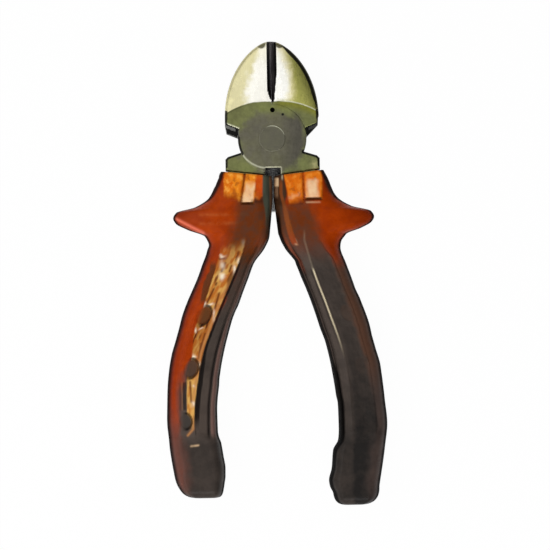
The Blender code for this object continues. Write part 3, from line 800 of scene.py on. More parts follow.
RIVET_SINK = 0.01
RIVET_EDGE = 0.14
RIVET_CENTRE = 0.4  # radius of the faces in the middle of the heads
RIVET_GREY = (0.168, 0.160, 0.120, 1)
RIVET_LIGHT = (0.190, 0.184, 0.124, 1)

top = HALF_HEAD - RIVET_SINK
under = HALF_HEAD - RIVET_RIM + RIVET_SINK
profile = [
    (RIVET_CENTRE, top), (RIVET_HEAD - 2 * RIVET_EDGE, top), (RIVET_HEAD - RIVET_EDGE, top),
    (RIVET_HEAD - 0.3 * RIVET_EDGE, top - 0.3 * RIVET_EDGE), (RIVET_HEAD, top - RIVET_EDGE),
    (RIVET_HEAD, under), (RIVET_SHANK, under),
]
profile += [(radius, -height) for radius, height in reversed(profile)]
turns = np.linspace(0, 2 * math.pi, 144, endpoint=False)
rivet = loft("pivot_pin", [[(radius * math.cos(a), radius * math.sin(a), height) for a in turns]
                           for radius, height in profile])

rivet_steel, tree, pin = new_material("rivet_steel")
pin["Metallic"].default_value = 1.0
place = place_in_mm(tree)
mottles = add_mottle(place, 0.3, (0.3, 2.0, 2.0))
axes = add_node(tree, "ShaderNodeSeparateXYZ", {0: place}).outputs
flat = add_node(tree, "ShaderNodeCombineXYZ", {0: axes["X"], 1: axes["Y"]}).outputs[0]
# Painted highlight on the upper right of the head's rim
upper_right = times(ranged(axes["Y"], 0.6, 2.2), ranged(axes["X"], -2.2, 0.2))
rim_highlight = times(ranged(between(flat, (0, 0, 0)), 4.2, 4.35), upper_right, 0.8)
colour = mixed(rim_highlight, mixed(mottles["Cloud"], RIVET_GREY, RIVET_LIGHT), HIGHLIGHT_PALE)
tree.links.new(colour, pin["Base Color"])
tree.links.new(maths("MULTIPLY_ADD", mottles["Stroke"], 0.12, 0.38), pin["Roughness"])
dress(rivet, rivet_steel, STEEL_CREASE)
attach(rivet, "rear_side")
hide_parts("pivot_rivet")

# Sleeves: one moulding of clear orange-red plastic on each tang. It is thin and bright over the
# collar, thick and dark over the tang, and has a guard for the thumb, a raised grained strip with
# round dimples down the handle, and a heel.

REACH = {-1: 123.95, 1: 127.18}  # tables like this one are by side: -1 on the left, 1 on the right
HALF_SLEEVE = 8
FULL_WIDTH = 17.5
HALF_COLLAR = 6.5
COLLAR_FLAT = {-1: [(13, 3.2), (22, 3.6)], 1: [(13, 4.0), (22, 5.6)]}  # inner edge of its flats
COLLAR_SIDE = 16.8  # and their outer edge
NOTCH = {-1: [(12, 9.5), (22, 11.2)], 1: [(12, 10.5), (22, 10.6)]}  # line that parts the flats
NOTCH_TO = {-1: 21.5, 1: 19.5}
COLLAR_TONGUE = {-1: (-4.2, -0.4), 1: (0.8, 6.1)}  # from the notch
COLLAR_STEP = {-1: 22.0, 1: 20.9}  # where the tongue ends
COLLAR_FREE = {-1: (18.7, 18.0), 1: (20.8, 19.2)}  # where the flat without and with the tongue ends
# Where the two sides swell or are flatter: from, to, how soft it ends, and how far
INNER_SWELLS = {
    -1: [(49, 57, 6, 0.4), (60, 82, 4, -0.28), (105, 117, 2, 0.2)],
    1: [(49, 65, 6, 0.4), (34.5, 42, 2, -0.3), (92, 104, 3, -0.3)],
}
OUTER_SWELLS = {
    -1: [(58, 82, 12, 0.45), (0, 13.2, 1.6, 0.35), (14.8, 16.9, 0.8, -0.2), (33.8, 36, 2.6, -0.6),
         (65, 69, 5, -0.22), (108, 116, 6, 0.3)],
    1: [(58, 90, 12, -0.65), (15, 19, 3, -0.3), (31.8, 33.6, 2.2, 0.45), (39.5, 52, 4, -0.38),
        (70, 73, 6, -0.4)],
}
HEEL_AT = 101
HEEL_STEP = 5.5
HEEL_ROUND = 4
RIM_DROP = 1.7
RIM_ROUND = 1.8
PAD_HEIGHT = 0.4
PAD_OUTER = 13.4
PAD_LEAN = 0.1
GROOVE_AT = 0.39  # share of the way from the inner edge to the strip
GROOVE_DEPTH = 0.6
END_OUTER = {-1: 6.8, 1: 6}
END_INNER = {-1: 2.1, 1: 3.5}
END_FACE = 3
END_POWER = 2.5  # squarer than a circle
DIMPLE_RADIUS = 2.45
DIMPLE_LENGTH = 1.27  # times as long as it is wide
DIMPLE_DEPTH = {-1: 0.7, 1: 0.14}
DIMPLE_SEEN = {-1: 1, 1: 0.12}  # how dark it is painted, as shade in the dimple
DIMPLE_INSET = 10.7
DIMPLE_FIRST = 42.6
DIMPLE_PITCH = 18.2
DIMPLE_COUNT = 4
FIRST_SEEN = 0.2  # the uppermost dimple is shallow,
LAST_ASIDE = 0.3  # and the lowest stands further out and is smaller
LAST_SHARE = 0.84
GRAIN_DEPTH = 0.16
AROUND = 84
SKIN = 0.02  # how far the sleeve stays inside its full size
COLLAR_INNER = [(12.9, 0.4), (20.0, 0.25), (25.0, 0.6), (28.0, 0.9), (31.6, 1.3)]
SLEEVE_INNER = {
    -1: COLLAR_INNER + INNER_EDGE[3:10] + [
        (105.5, 19.75), (109.7, 19.1), (113.8, 18.5), (118, 18.6), (123, 19.4)],
    1: COLLAR_INNER + INNER_EDGE[3:9] + [
        (101, 20.9), (105, 20.6), (108.3, 19.1), (114.5, 18.5), (118.7, 17.5), (120.8, 17.8), (123, 18.8),
        (126, 19.3)],
}
STRIP_INNER = {
    -1: [(35, 9.3), (41, 11.4), (48, 14.2), (55, 17.4), (64, 21.2), (74, 24.9), (83, 26.75), (92, 28.0),
         (101, 28.5), (112, 27.5)],
    1: [(35.5, 10.5), (46, 13.5), (60, 18.5), (75.8, 23.4), (89.5, 25.3), (100, 25.6), (112, 25.0)],
}
STRIP_OUTER = [(39, 18.6), (43, 19.7), (49.4, 21.8), (57, 24.4), (66.5, 28.0), (75, 29.0), (83, 30.8),
               (93, 31.0), (101, 30.5)]
# How strongly the tang shows through the plastic, and how far from the inner edge
CORE_DEPTH = {
    -1: [(19, 0.85), (28, 0.9), (36, 0.9), (42, 1.0), (120, 1.0)],
    1: [(19, 0.6), (28, 0.85), (36, 0.9), (45, 1.0), (120, 1.0)],
}
CORE_EDGE = {
    -1: [(21, 12.3), (27, 12.3), (31, 13.8), (35, 14), (39, 11), (43, 7), (49, 5.4), (66, 6.8), (74, 9),
         (80, 12.4), (97, 12.6), (106, 13.2), (120, 12.5)],
    1: [(21, 12.5), (25, 13.5), (30, 14.6), (36, 14.4), (42, 13.4), (46, 13.0), (60, 12.4), (78, 12.2),
        (90, 13.4), (120, 13.6)],
}
STRAND = [(19.2, 2.7), (24.2, 3.9), (28.7, 4.8), (34.2, 6.2), (37.2, 7.4)]
FLANK = {
    -1: [(13, 2.8), (30, 2.8)],
    1: [(13, 4.2), (18.5, 4.0), (21, 2.2), (24.2, 3.0), (28.7, 3.9), (34.2, 5.3), (37.2, 6.5)],
}
# Straight lines between two points of the plan: a painted highlight along the left guard's lower edge,
# a painted highlight line on the right collar and on the tail of the left strip, and dark breaks in the
# strip's painted reflection
GUARD_HIGHLIGHT_LINE = (33.9, 27.1, 24.5, 32.2)
COLLAR_STROKE = (18.2, 16.0, 20.6, 20.2)
TAIL = [(29.1, 95.6, 29.05, 99.8), (29.05, 99.8, 31, 102)]
REFLECTION_BREAKS = [
    (19.1, 41.2, 16.8, 41.2), (18.3, 45.6, 17.0, 42.7), (14.9, 43.7, 15.6, 45.7), (20.4, 50.2, 20.1, 49.5),
    (21.2, 51.7, 23.5, 56.3), (19.3, 53.1, 20.9, 58.4), (27.0, 66.1, 27.8, 68.2), (24.4, 66.9, 25.5, 70.3),
    (25.8, 70.3, 26.8, 75.5), (29.9, 83.5, 29.6, 90.5),
]
# Painted glints on the left strip's painted reflection, and their sizes
GLINTS = [
    (18.2, 40.3, 1.2, 0.45), (18.1, 47.0, 0.9, 1.1), (21.3, 61.0, 0.35, 1.8), (10.8, 35.5, 0.4, 1.5),
    (12.1, 42.5, 0.7, 0.9), (13.9, 45.2, 0.5, 1.2), (24.4, 56.6, 0.6, 0.7), (22.4, 57.0, 0.9, 0.55),
    (27.6, 65.6, 0.35, 0.55), (25.6, 65.2, 0.65, 0.22), (17.9, 43.3, 0.75, 1.5), (28.4, 74.9, 0.7, 0.7),
    (26.7, 77.9, 0.4, 0.9), (28.5, 85.0, 0.5, 0.5), (29.0, 91.6, 0.7, 0.7),
]


def eased(value, low, high):
    """0 below low and 1 above high, with a smooth rise between them."""
    t = np.clip((value - low) / (high - low), 0, 1)
    return t * t * (3 - 2 * t)


def within(value, low, high, soft):
    """1 between two limits, falling to 0 over a soft edge outside them."""
    return eased(value, low - soft, low) * (1 - eased(value, high, high + soft))


def beside(value, line, width):
    """1 on a line, falling away on both sides of it."""
    return np.exp(-((value - line) / width) ** 2)


def drawn_on(plan, d, lines, width):
    """1 on straight lines, falling away on both sides of them."""
    return np.max([beside(near_line(plan, d, line), 0, width) for line in lines], axis=0)


def rounding(left_over, radius, power=2.0):
    """How far a rounded end has drawn in, with this length left over to its tip."""
    drawn = 1 - np.clip(1 - left_over / radius, 0, 1) ** power
    return radius * (1 - np.maximum(drawn, 0) ** (1 / power))


def quarter(share):
    """Height of a quarter circle over its foot: 0 at its start and 1 at its top."""
    return np.sqrt(1 - np.clip(1 - share, 0, 1) ** 2)


def follow(points, distance):
    """Smooth curve through (distance, value) points, for a column of distances."""
    return np.array([edge_at(points, d) for d in distance])[:, None]


def grain(rng, along, across, cell_along, cell_across):
    """Smooth random height from -1 to 1 over a surface, in cells of the given length and width."""
    u, v = along / cell_along, across / cell_across
    i, j = np.floor(u).astype(int), np.floor(v).astype(int)
    table = rng.uniform(-1, 1, (i.max() - i.min() + 2, j.max() - j.min() + 2))
    i0, j0 = i - i.min(), j - j.min()
    a, b = eased(u - i, 0, 1), eased(v - j, 0, 1)
    low = table[i0, j0] * (1 - a) + table[i0 + 1, j0] * a
    high = table[i0, j0 + 1] * (1 - a) + table[i0 + 1, j0 + 1] * a
    return low * (1 - b) + high * b


def sleeve(name, side):
    """Sleeve from its slanted mouth to its heel; side is 1 on the right and -1 on the left."""
    rng = np.random.default_rng(11 + side)
    on_left, on_right = side < 0, side > 0
    reach = REACH[side]
    widest = max(END_OUTER[side], END_INNER[side], END_FACE)
    turn = np.linspace(0, math.pi / 2, 18)
    distance = np.concatenate([
        np.linspace(COLLAR_TOP, GUARD_END, 100, endpoint=False),
        np.linspace(GUARD_END, reach - widest, 250, endpoint=False),
        reach - widest * (1 - np.sin(turn)),
    ])
    left = reach - distance
    slant = COLLAR_SLANT * np.clip(1 - (distance - COLLAR_TOP) / (COLLAR_END - COLLAR_TOP), 0, 1)
    bow, swell = [sum(far * within(distance, start, stop, soft) for start, stop, soft, far in swells[side])
                  for swells in (INNER_SWELLS, OUTER_SWELLS)]
    bow = rounding(left, END_INNER[side], END_POWER) - bow
    swell = swell - rounding(left, END_OUTER[side], END_POWER)
    drop = 0.5 * within(distance, 21, 29, 6) * on_right
    inner = follow(SLEEVE_INNER[side], distance) + bow[:, None]
    outer = follow(OUTER_EDGE, distance - slant - drop) + swell[:, None] - SKIN
    width = outer - inner
    share = (1 - np.cos(np.linspace(0, math.pi, AROUND))) / 2
    offset = width * share
    half = (HALF_SLEEVE - SKIN - rounding(left, END_FACE))[:, None]
    blank = np.zeros_like(offset)
    d = distance[:, None]
    run = d + blank
    plan = inner + offset
    fall = d - slant[:, None] * share

    # Handle and heel
    pad = follow(STRIP_INNER[side], distance) - inner
    handle = eased(d, 32, 42) * (1 - eased(d, HEEL_AT, HEEL_AT + 3))
    heel = eased(d, HEEL_AT + 1, HEEL_AT + HEEL_STEP)
    fit = np.minimum(1, width / FULL_WIDTH)
    rim = half - RIM_DROP
    rise = eased(offset, 0.36 * pad, pad - 0.1) * handle + eased(offset, 0.5, 5) * (1 - handle)
    slope = rim * quarter(offset / (RIM_ROUND * fit)) + (half - PAD_HEIGHT - rim) * rise
    block = half * quarter(offset / (HEEL_ROUND * fit))
    start = PAD_OUTER * fit
    round_side = np.sqrt(1 - np.clip((offset - start) / (width - start), 0, 1) ** 2)
    groove = GROOVE_DEPTH * beside(offset, GROOVE_AT * pad, 0.35)
    strip = within(offset, pad, start, 0.25) * handle
    lean = PAD_LEAN * np.clip(offset - pad, 0, start - pad) * handle
    body = (slope - lean + PAD_HEIGHT * strip) * (1 - heel) + block * heel
    body = body * round_side - groove * handle

    # Collar: an inner and an outer flat parted by a notch, with a tongue that rises along one of them
    flat_in = follow(COLLAR_FLAT[side], distance)
    notch_at = follow(NOTCH[side], distance)
    notch = beside(plan, notch_at, 0.3)
    tongue_in, tongue_out = [notch_at + edge for edge in COLLAR_TONGUE[side]]
    tongue = within(plan, tongue_in, tongue_out, 0.35)
    step_at = COLLAR_STEP[side]
    inner_flank = np.sqrt(1 - np.clip(1 - offset / np.maximum(flat_in - inner, 0.5), 0, 1) ** 2.4)
    outer_part = (plan - COLLAR_SIDE) / np.maximum(outer - COLLAR_SIDE, 0.5)
    outer_flank = np.sqrt(1 - np.clip(outer_part, 0, 1) ** 2)
    ramp = 0.9 * eased(d, 14, step_at) * tongue
    collar = (HALF_COLLAR + ramp) * inner_flank * outer_flank - 0.5 * notch
    free_from = np.where((notch_at - plan) * side > 0, *COLLAR_FREE[side])
    tongue_end = eased(d, step_at, step_at + 0.8) * tongue
    change = eased(d, free_from, free_from + 3) * (1 - tongue) + tongue_end
    step = within(d, step_at, step_at + 0.5, 0.35) * tongue
    height = (1 - change) * collar + change * body - 0.5 * step

    # Dimples and grain
    dots = blank
    dot_edge = blank
    for number in range(DIMPLE_COUNT):
        at = DIMPLE_FIRST + number * DIMPLE_PITCH
        last = number == DIMPLE_COUNT - 1
        lean = (edge_at(INNER_EDGE, at + 2) - edge_at(INNER_EDGE, at - 2)) / 4
        aside = plan - edge_at(INNER_EDGE, at) - DIMPLE_INSET - lean * (d - at)
        away = np.hypot((d - at) / DIMPLE_LENGTH, aside - LAST_ASIDE * last) / (LAST_SHARE if last else 1)
        seen = FIRST_SEEN if number == 0 else 1.0
        near_side = 1 - eased(aside, -0.3, 1.7)
        dot = seen * (1 - eased(away, DIMPLE_RADIUS - 0.35, DIMPLE_RADIUS)) * (0.3 + 0.7 * near_side)
        ring = seen * within(away, DIMPLE_RADIUS - 0.1, DIMPLE_RADIUS + 0.5, 0.25) * near_side
        dots = np.maximum(dots, dot)
        dot_edge = np.maximum(dot_edge, ring)
    strip_outer = follow(STRIP_OUTER, distance)
    grained = within(plan, inner + pad + 0.5, strip_outer, 0.3) * (1 - dots)
    grained = grained * eased(d, 34 + 0.35 * (plan - 12), 42) * (1 - eased(d, HEEL_AT - 5, HEEL_AT))
    lane = offset - pad
    texture = 0.6 * grain(rng, run, lane, 3.0, 0.9)
    texture += 0.4 * grain(rng, run, lane, 1.2, 1.1)
    cell = eased(grain(rng, run, lane, 2.0, 1.0), -0.5, 0.6)
    cell = cell - 0.45 * within(d, 63, 73, 3) + 0.6 * eased(d, 79, 85)
    cell = np.maximum(cell, 0.95 * tongue * (d < step_at))
    streak = eased(grain(rng, run, lane, 4.0, 0.85), 0.3, 0.75) * (1 - eased(d, 79, 85))
    height = height - DIMPLE_DEPTH[side] * dots - GRAIN_DEPTH * grained * (0.5 - 0.5 * texture)

    # What differs from side to side: where the plastic is dark or pale, and its painted shade, painted
    # highlights and painted reflection
    drift = 0.45 * grain(rng, run, offset, 3.5, 1.8)
    drift += 0.25 * grain(rng, run, offset, 1.3, 0.9)
    ragged = d + 1.6 * drift
    deepens = eased(d, 56, 72)
    strand_at = follow(STRAND, distance)
    strip_reflection = glint = reflection_break = guard_highlight = sheen = hollow = blank
    if on_left:
        bark = 1 - 0.75 * eased(d, 40, 48) - 0.25 * eased(d, 50, 64)
        # Painted shade over the tang: lighter low on the handle and darker on the heel
        shade = 0.1 - 0.15 * within(d, 84, 100, 6) + 0.35 * heel
        by_strip = 1 - eased(plan, strip_outer + 2, strip_outer + 5)
        tan = np.maximum(0.8 * eased(d, 86, 108), 0.85 * by_strip * eased(d, 79, 88))
        # Painted highlights on the collar's tongue and by the heel's step
        gleam = within(plan + 0.7 * drift, tongue_in + 0.5, tongue_out - 0.6, 0.7)
        gleam = gleam * eased(fall + 2 * drift, 14.2, 17.2) * (d < step_at)
        heel_gleam = within(plan, 27.6, 29.8, 0.8) * beside(d - 0.1 * (plan - 28.5), 105.6, 0.3)
        gleam = np.maximum(gleam, 0.7 * heel_gleam)
        # Painted reflection of the side lamp on the left strip's grain
        strip_reflection = grained
        # Painted highlight lines beside the strip, by the heel and along the strip's tail
        line = 0.8 * beside(offset, pad + 1.1, 0.5) * within(d, 53, 88, 5)
        line = np.maximum(line, 0.3 * beside(plan, 32.75, 0.2) * within(d, 84, 93, 0.7))
        line = np.maximum(line, 0.8 * drawn_on(plan, d, TAIL, 0.4))
        # Painted shade lines along the strip's inner edge and beside it
        groove_width = 0.7 + 0.8 * eased(d, 68, 84)
        dark_line = within(offset, pad - groove_width + 0.3, pad + 0.3, 0.3) * within(d, 46, 95, 6)
        beside_strip = within(plan, 31.4, 32.4, 0.2) + 0.35 * within(plan, 33.1, 33.6, 0.3)
        dark_line += 0.75 * beside_strip * within(d, 84, 93, 0.7)
        # Painted shade in the hollow beside the strip
        hollow = within(plan + 1.2 * drift, strip_outer, strip_outer + 2.2 - 0.06 * (d - 46), 0.7)
        hollow = hollow * within(ragged, 44, 55, 2.5)
        # A faint painted light streak on the left handle's inner side
        strand = 0.4 * beside(offset, 3.4, 0.9) * within(d, 29, 36, 2)
        # Painted highlight along the guard's lower edge, and painted sheen bands across the guard
        guard_highlight = drawn_on(plan, d, [GUARD_HIGHLIGHT_LINE], 0.55)
        sheen = within(plan, 10, 25, 1.5) * (beside(d, 26, 0.6) + beside(d, 29, 0.6))
        # Painted glints on the strip
        for x, y, wide, high in GLINTS:
            away = np.hypot((plan + 0.5 * drift - x) / wide, (ragged - y) / high)
            glint = np.maximum(glint, beside(away, 0, 1))
        # Dark breaks in the painted reflection
        reflection_break = drawn_on(plan, d, REFLECTION_BREAKS, 0.36)
        # Painted dark outline along the inner edge, as shade
        brink_in = 1 - eased(offset, 0.3, 0.8)
        # A lighter painted patch along the inner edge, where light reaches the shaded flank
        flank_light = 1 - eased(plan, 1.0, 1.5)
        groove_share, lip_share = 0.15 + 0.75 * deepens, 0.35 + 0.45 * deepens
        outer_share = 0.3 + 0.4 * (1 - eased(fall, 11, 14.5))
        notch_share = 1
    else:
        bark = 1 - eased(d, 29, 45)
        # Painted shade over the tang, darker on the handle's face and towards the heel
        shade = 0.12 + 0.25 * eased(offset, pad, pad + 2) * eased(d, 38, 48)
        shade = shade + 0.4 * eased(d, 60, 104) + 0.1 * heel
        # The outer band is painted brown below the guard, as shade
        tan = eased(d, 38, 47)
        # Painted highlights on the collar's tongue, below its step, in the gap and at the strand's end
        gleam = within(plan + drift, tongue_in + 1.1, tongue_in + 3.7, 1.1)
        gleam = gleam * eased(fall + 1.5 * drift, 13.5, 15.5) * (d < step_at)
        gleam += 0.45 * within(plan, 11.5, 16, 0.4) * beside(fall, 22.3, 0.3)
        gleam += 0.3 * within(plan, 5.6, 9, 0.8) * beside(fall + 2 * drift, 20, 0.7)
        gleam += within(plan, 0.7, 1.7, 0.45) * within(fall, 14, 16.2, 0.7)
        gleam += 0.85 * beside(plan, strand_at + 0.4, 0.5) * within(d, 35, 36.6, 0.7)
        # Painted highlight line along the strip's ridge, on the collar and by the tang's edge
        ridge = eased(d, 44.5, 46.5) * (1 - eased(d, 60, 77))
        line = beside(offset, pad, 0.27) * (ridge + 0.12 * within(d, 34, 46, 3))
        line += 0.5 * beside(plan, 3.2, 0.25) * within(fall, 11, 13.5, 1.5)
        line += 0.35 * drawn_on(plan, d, [COLLAR_STROKE], 0.25)
        # Painted shade lines on both sides of the ridge
        dark_line = 0.6 * within(offset, pad - 0.95, pad - 0.5, 0.25) * ridge
        dark_line += 0.45 * within(offset, pad + 0.5, pad + 0.8, 0.25) * ridge
        # Painted light on the right handle's inner rim, which faces the lamps
        strand_half = 0.35 + 0.5 * eased(d, 20, 34)
        strand = within(plan, strand_at - strand_half, strand_at + strand_half, 0.35)
        strand = strand * (0.75 * eased(d, 13.5, 16.5) + 0.25 * eased(d, 24, 30)) * (1 - eased(d, 36, 37.5))
        strand = np.maximum(strand, 0.45 * within(offset, 1.3, 2.1, 0.5) * within(d, 37, 44, 4))
        thick = 0.8 * within(d, 84, 103, 8)
        # Painted dark outline along the inner edge, wider by the heel, as shade
        brink_in = 1 - eased(offset, 0.9 + thick, 1.7 + thick)
        # A lighter painted patch in the shaded flank
        flank_light = within(plan, 0.4, 1.5, 0.4) * within(d, 16, 19.5, 1.5)
        groove_share, lip_share = 0.3, 0.1
        outer_share = 0.6
        notch_share = 0.7 * eased(fall, 12.4, 15)

    # Where the tang shows through, and the collar, with painted shade on the flanks,
    # painted dark outlines and lines of painted shade
    clear_end = eased(d + 3 * drift, free_from, free_from + 2.6) * (1 - tongue) + tongue_end
    soft = 1.3 + 1.7 * (1 - handle)
    core_edge = follow(CORE_EDGE[side], distance)
    core = 1 - eased(offset + 1.5 * drift, core_edge - soft, core_edge + soft)
    core = follow(CORE_DEPTH[side], distance) * core * clear_end
    lip = within(offset, 0.9, 0.28 * pad, 0.35) * handle * lip_share
    thin = (1 - clear_end) * within(plan, flat_in, COLLAR_SIDE, 0.4) * (1 - 0.8 * notch)
    red_lip = within(plan, 3.2, 5.8, 0.7) * eased(fall, 11.5, 14.5) * on_left * thin
    # Painted shade on the inner flanks between the handles
    past_collar = eased(d, 18, 27)
    flank_to = (flat_in - 0.3 * side) * (1 - past_collar) + follow(FLANK[side], distance) * past_collar
    flank_soft = 0.3 + 0.9 * past_collar * on_right
    flank = (1 - eased(plan, flank_to - flank_soft, flank_to + flank_soft)) * (1 - eased(d, 24, 38))
    # Painted shade on the left handle's rounded outer side and over the guards' ends
    outer_shade = eased(offset, start + 0.7, width) * handle * on_left
    outer_shade = np.maximum(outer_shade, 0.55 * eased(plan, 23, 33) * (1 - eased(d, 29, 33)))
    # Painted dark outline along the outer edges, as shade
    brink_width = 1.4 + 0.8 * (1 - eased(d, 18, 24)) + 0.6 * eased(d, 36, 42) * on_left
    brink_out = 1 - eased(width - offset, 0.45 + 0.5 * (1 - eased(d, 17, 24)), brink_width)
    brink = np.maximum(brink_out, brink_in * eased(d, 24, 28))
    # Painted shade in the groove, round the dimples, at the collar's step, notch and outer side, under the
    # left lip and at the mouth
    groove_line = beside(offset, GROOVE_AT * pad, 0.5) * handle * groove_share
    dark = np.maximum(dark_line, groove_line) + dot_edge * on_left + step
    dark += 0.65 * beside(plan, notch_at, 0.5) * within(fall, 12, NOTCH_TO[side], 0.8) * notch_share
    dark += eased(plan, COLLAR_SIDE, COLLAR_SIDE + 1.2) * (1 - eased(d, 16, 22)) * outer_share
    dark += 0.55 * within(plan, 3.8, 7.4, 0.5) * beside(fall, 21.6, 0.8) * on_left
    dark += 0.35 * (1 - eased(d, COLLAR_TOP + 0.1, COLLAR_TOP + 0.7))
    # Dark breaks in the painted reflection, also from the grain's streaks
    reflection_break = np.maximum(reflection_break, 0.8 * streak + 0.25 * within(d, 63, 73, 2))
    marks = {
        "core": core, "bark": bark, "shade": shade, "tan": tan, "thin": thin, "red_lip": red_lip,
        "flank": flank, "flank_light": flank_light, "gleam": gleam, "strip_reflection": strip_reflection, "glint": glint, "reflection_break": reflection_break,
        "cell": cell, "hollow": hollow, "line": line, "strand": strand, "lip": lip, "guard_highlight": guard_highlight,
        "sheen": sheen, "outer_shade": outer_shade, "dot": dots * DIMPLE_SEEN[side], "dark": np.clip(dark, 0, 1),
        "brink": brink, "run": run, "span": lane,
    }
    marks = {mark: value + blank for mark, value in marks.items()}

    # The back is the front's own shape
    across, along = side * plan, -fall
    upper = np.stack([across, along, height], axis=2)
    lower = np.stack([across, along, -height], axis=2)[:, -2:0:-1]
    marks = {mark: np.concatenate([value, value[:, -2:0:-1]], axis=1) for mark, value in marks.items()}
    return loft(name, np.concatenate([upper, lower], axis=1), marks)


RED_DEEP = (0.310, 0.031, 0.001, 1)
RED_CLEAR = (0.410, 0.046, 0.001, 1)
# colour of painted shade on the red plastic
RED_SHADE = (0.170, 0.014, 0.002, 1)
# colours of the painted sheen and the painted highlight on the left guard
RED_SHEEN = (0.48, 0.10, 0.02, 1)
RED_HIGHLIGHT = (0.75, 0.16, 0.09, 1)
RED_LIP = (0.56, 0.060, 0.004, 1)
BARK = (0.125, 0.032, 0.008, 1)
BARK_GREY = (0.085, 0.036, 0.018, 1)
BROWN = (0.105, 0.050, 0.031, 1)
BROWN_GREY = (0.078, 0.054, 0.046, 1)
# the shade mark paints the core from grey to black as shade
CORE_GREY = (0.092, 0.070, 0.058, 1)
CORE_BLACK = (0.018, 0.016, 0.015, 1)
COLLAR_DEEP = (0.70, 0.13, 0.004, 1)
COLLAR_BRIGHT = (0.95, 0.33, 0.018, 1)
COLLAR_BURNT = (0.36, 0.075, 0.008, 1)
# lighter collar patches, painted as light more strongly on the left
COLLAR_LIGHT = (1.0, 0.46, 0.075, 1)
# colour of painted highlights on the collars and heels
COLLAR_GLEAM = (0.98, 0.66, 0.38, 1)
# colours of the painted reflection on the left strip, its dark breaks and its glints
REFLECTION_BREAK = (0.11, 0.020, 0.004, 1)
REFLECTION_GOLD = (0.50, 0.15, 0.020, 1)
REFLECTION_PALE = (0.70, 0.38, 0.095, 1)
REFLECTION_GLINT = (0.98, 0.85, 0.66, 1)
# colours of painted highlight lines
RIDGE_LEFT = (0.52, 0.22, 0.07, 1)
RIDGE_RIGHT = (0.80, 0.68, 0.46, 1)
# colours of the painted light on the inner rims
STRAND_BROWN = (0.24, 0.058, 0.010, 1)
STRAND_RED = (0.29, 0.050, 0.012, 1)
# colours of the painted shade on the inner flanks, and of a lighter painted patch in it
FLANK_GREY = (0.066, 0.072, 0.050, 1)
FLANK_BROWN = (0.052, 0.022, 0.010, 1)
FLANK_LIT = (0.22, 0.12, 0.065, 1)
LIP_BROWN = (0.18, 0.10, 0.082, 1)
# colours of the painted shade in the dimples
DOT_BROWN = (0.13, 0.045, 0.012, 1)
DOT_GREY = (0.055, 0.046, 0.040, 1)
# colour of painted shade lines and outlines
BRINK_BLACK = (0.004, 0.003, 0.003, 1)

SLEEVE_CREASE = 50  # degrees

amber_plastic, tree, plastic = new_material("amber_plastic")
plastic["Specular IOR Level"].default_value = 0.06
mark = partial(mark_value, tree)
run = mark("run")
surface = add_node(tree, "ShaderNodeCombineXYZ", {0: mark("span"), 1: run}).outputs[0]
mottles = add_mottle(surface, 0.2, (1.4, 0.1, 1.0))
blotches = add_mottle(surface, 0.3, (0.6, 0.16, 1.0))
patches = add_mottle(surface, 0.4, (0.9, 0.5, 1.0))["Cloud"]
cloud, blotch = mottles["Cloud"], blotches["Cloud"]
across = add_node(tree, "ShaderNodeSeparateXYZ", {0: place_in_mm(tree)}).outputs["X"]
on_left = ranged(across, 0.1, -0.1)
# Painted shade in the core, by the shade mark
core_tone = mixed(maths("MULTIPLY_ADD", cloud, 0.25, mark("shade")), CORE_GREY, CORE_BLACK)
core_tone = mixed(mark("bark"), core_tone, mixed(ranged(blotch, 0.1, 0.9), BARK, BARK_GREY))
# The left collar is painted brighter than the right, with more light patches, as painted light
thin_share = maths("MULTIPLY_ADD", mark("cell"), 0.6, times(blotch, 0.5))
thin_share = times(thin_share, ranged(on_left, 0, 1, 0.28, 0.8))
collar_tone = coated(mixed(thin_share, COLLAR_DEEP, COLLAR_BRIGHT), [
    (times(ranged(patches, 0.5, 0.9), ranged(on_left, 0, 1, 0.25, 0.65)), COLLAR_LIGHT),
    (ranged(patches, 0.36, 0.05, 0, 0.6), COLLAR_BURNT),
])
flank_tone = mixed(mark("flank_light"), mixed(on_left, FLANK_BROWN, FLANK_GREY), FLANK_LIT)
# Painted reflection on the left strip, with its dark breaks and glints
cells = maths("MULTIPLY_ADD", blotches["Stroke"], 0.4, times(mark("cell"), 0.6))
reflection_tone = coated(mixed(ranged(cells, 0.15, 0.85), REFLECTION_GOLD, REFLECTION_PALE), [
    (mark("reflection_break"), REFLECTION_BREAK),
    (mark("glint"), REFLECTION_GLINT),
])
# Lines of painted shade
edges = times(mark("dark"), 0.88)
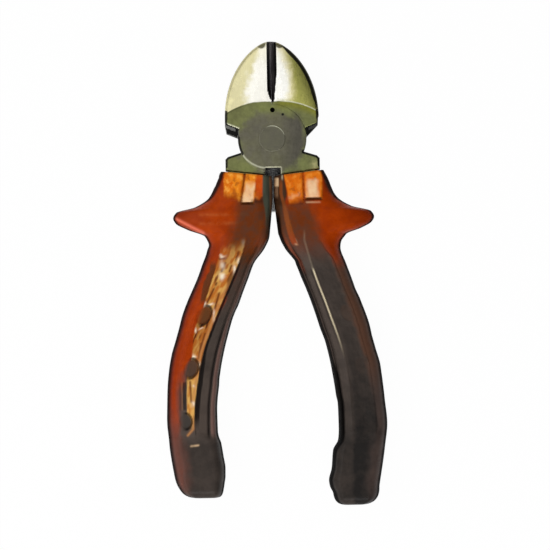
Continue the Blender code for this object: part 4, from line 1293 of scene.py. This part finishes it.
# Red plastic under its own tones, with painted shade, painted highlights and painted reflection laid over it
colour = coated(mixed(cloud, RED_DEEP, RED_CLEAR), [
    (mark("outer_shade"), RED_SHADE),
    (times(mark("sheen"), blotch, 0.7), RED_SHEEN),
    (mark("guard_highlight"), RED_HIGHLIGHT),
    (mark("tan"), mixed(ranged(run, 72, 92), BROWN, BROWN_GREY)),
    (mark("core"), core_tone),
    (mark("thin"), collar_tone),
    (times(mark("red_lip"), 0.9), RED_LIP),
    (mark("flank"), flank_tone),
    (mark("hollow"), BARK),
    (times(mark("gleam"), maths("MULTIPLY_ADD", blotch, 0.4, 0.62)), COLLAR_GLEAM),
    (mark("strip_reflection"), reflection_tone),
    (mark("line"), mixed(on_left, RIDGE_RIGHT, RIDGE_LEFT)),
    (mark("lip"), LIP_BROWN),
    (mark("strand"), mixed(ranged(run, 30, 36), STRAND_BROWN, STRAND_RED)),
    (mark("dot"), mixed(ranged(run, 52, 98), DOT_BROWN, DOT_GREY)),
    (edges, BRINK_BLACK),
])
# Painted dark outline along the edges, as shade
colour = dimmed(colour, maths("MULTIPLY_ADD", mark("brink"), -0.94, 1.0))
tree.links.new(colour, plastic["Base Color"])
matt = maths("MAXIMUM", mark("dot"), maths("MAXIMUM", edges, mark("brink")))
rough = maths("MULTIPLY_ADD", matt, 0.5, ranged(blotch, 0.0, 1.0, 0.26, 0.40))
tree.links.new(rough, plastic["Roughness"])
ripple = maths("MULTIPLY_ADD", blotch, 0.7, times(mottles["Speck"], 0.3))
bump = add_node(tree, "ShaderNodeBump", {"Height": ripple, "Strength": 0.2, "Distance": 0.1 * MM})
tree.links.new(bump.outputs[0], plastic["Normal"])

for name, side, body, node in (("left_sleeve", -1, "rear_side", "left_grip"),
                               ("right_sleeve", 1, "front_side", "right_grip")):
    grip = sleeve(name, side)
    socket = tang("socket_tool", FIT / 2)
    if side < 0:
        socket.data.transform(Matrix.Rotation(math.pi, 4, "Y"))
    cut(grip, socket)
    dress(grip, amber_plastic, SLEEVE_CREASE)
    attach(grip, body)
    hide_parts(node)
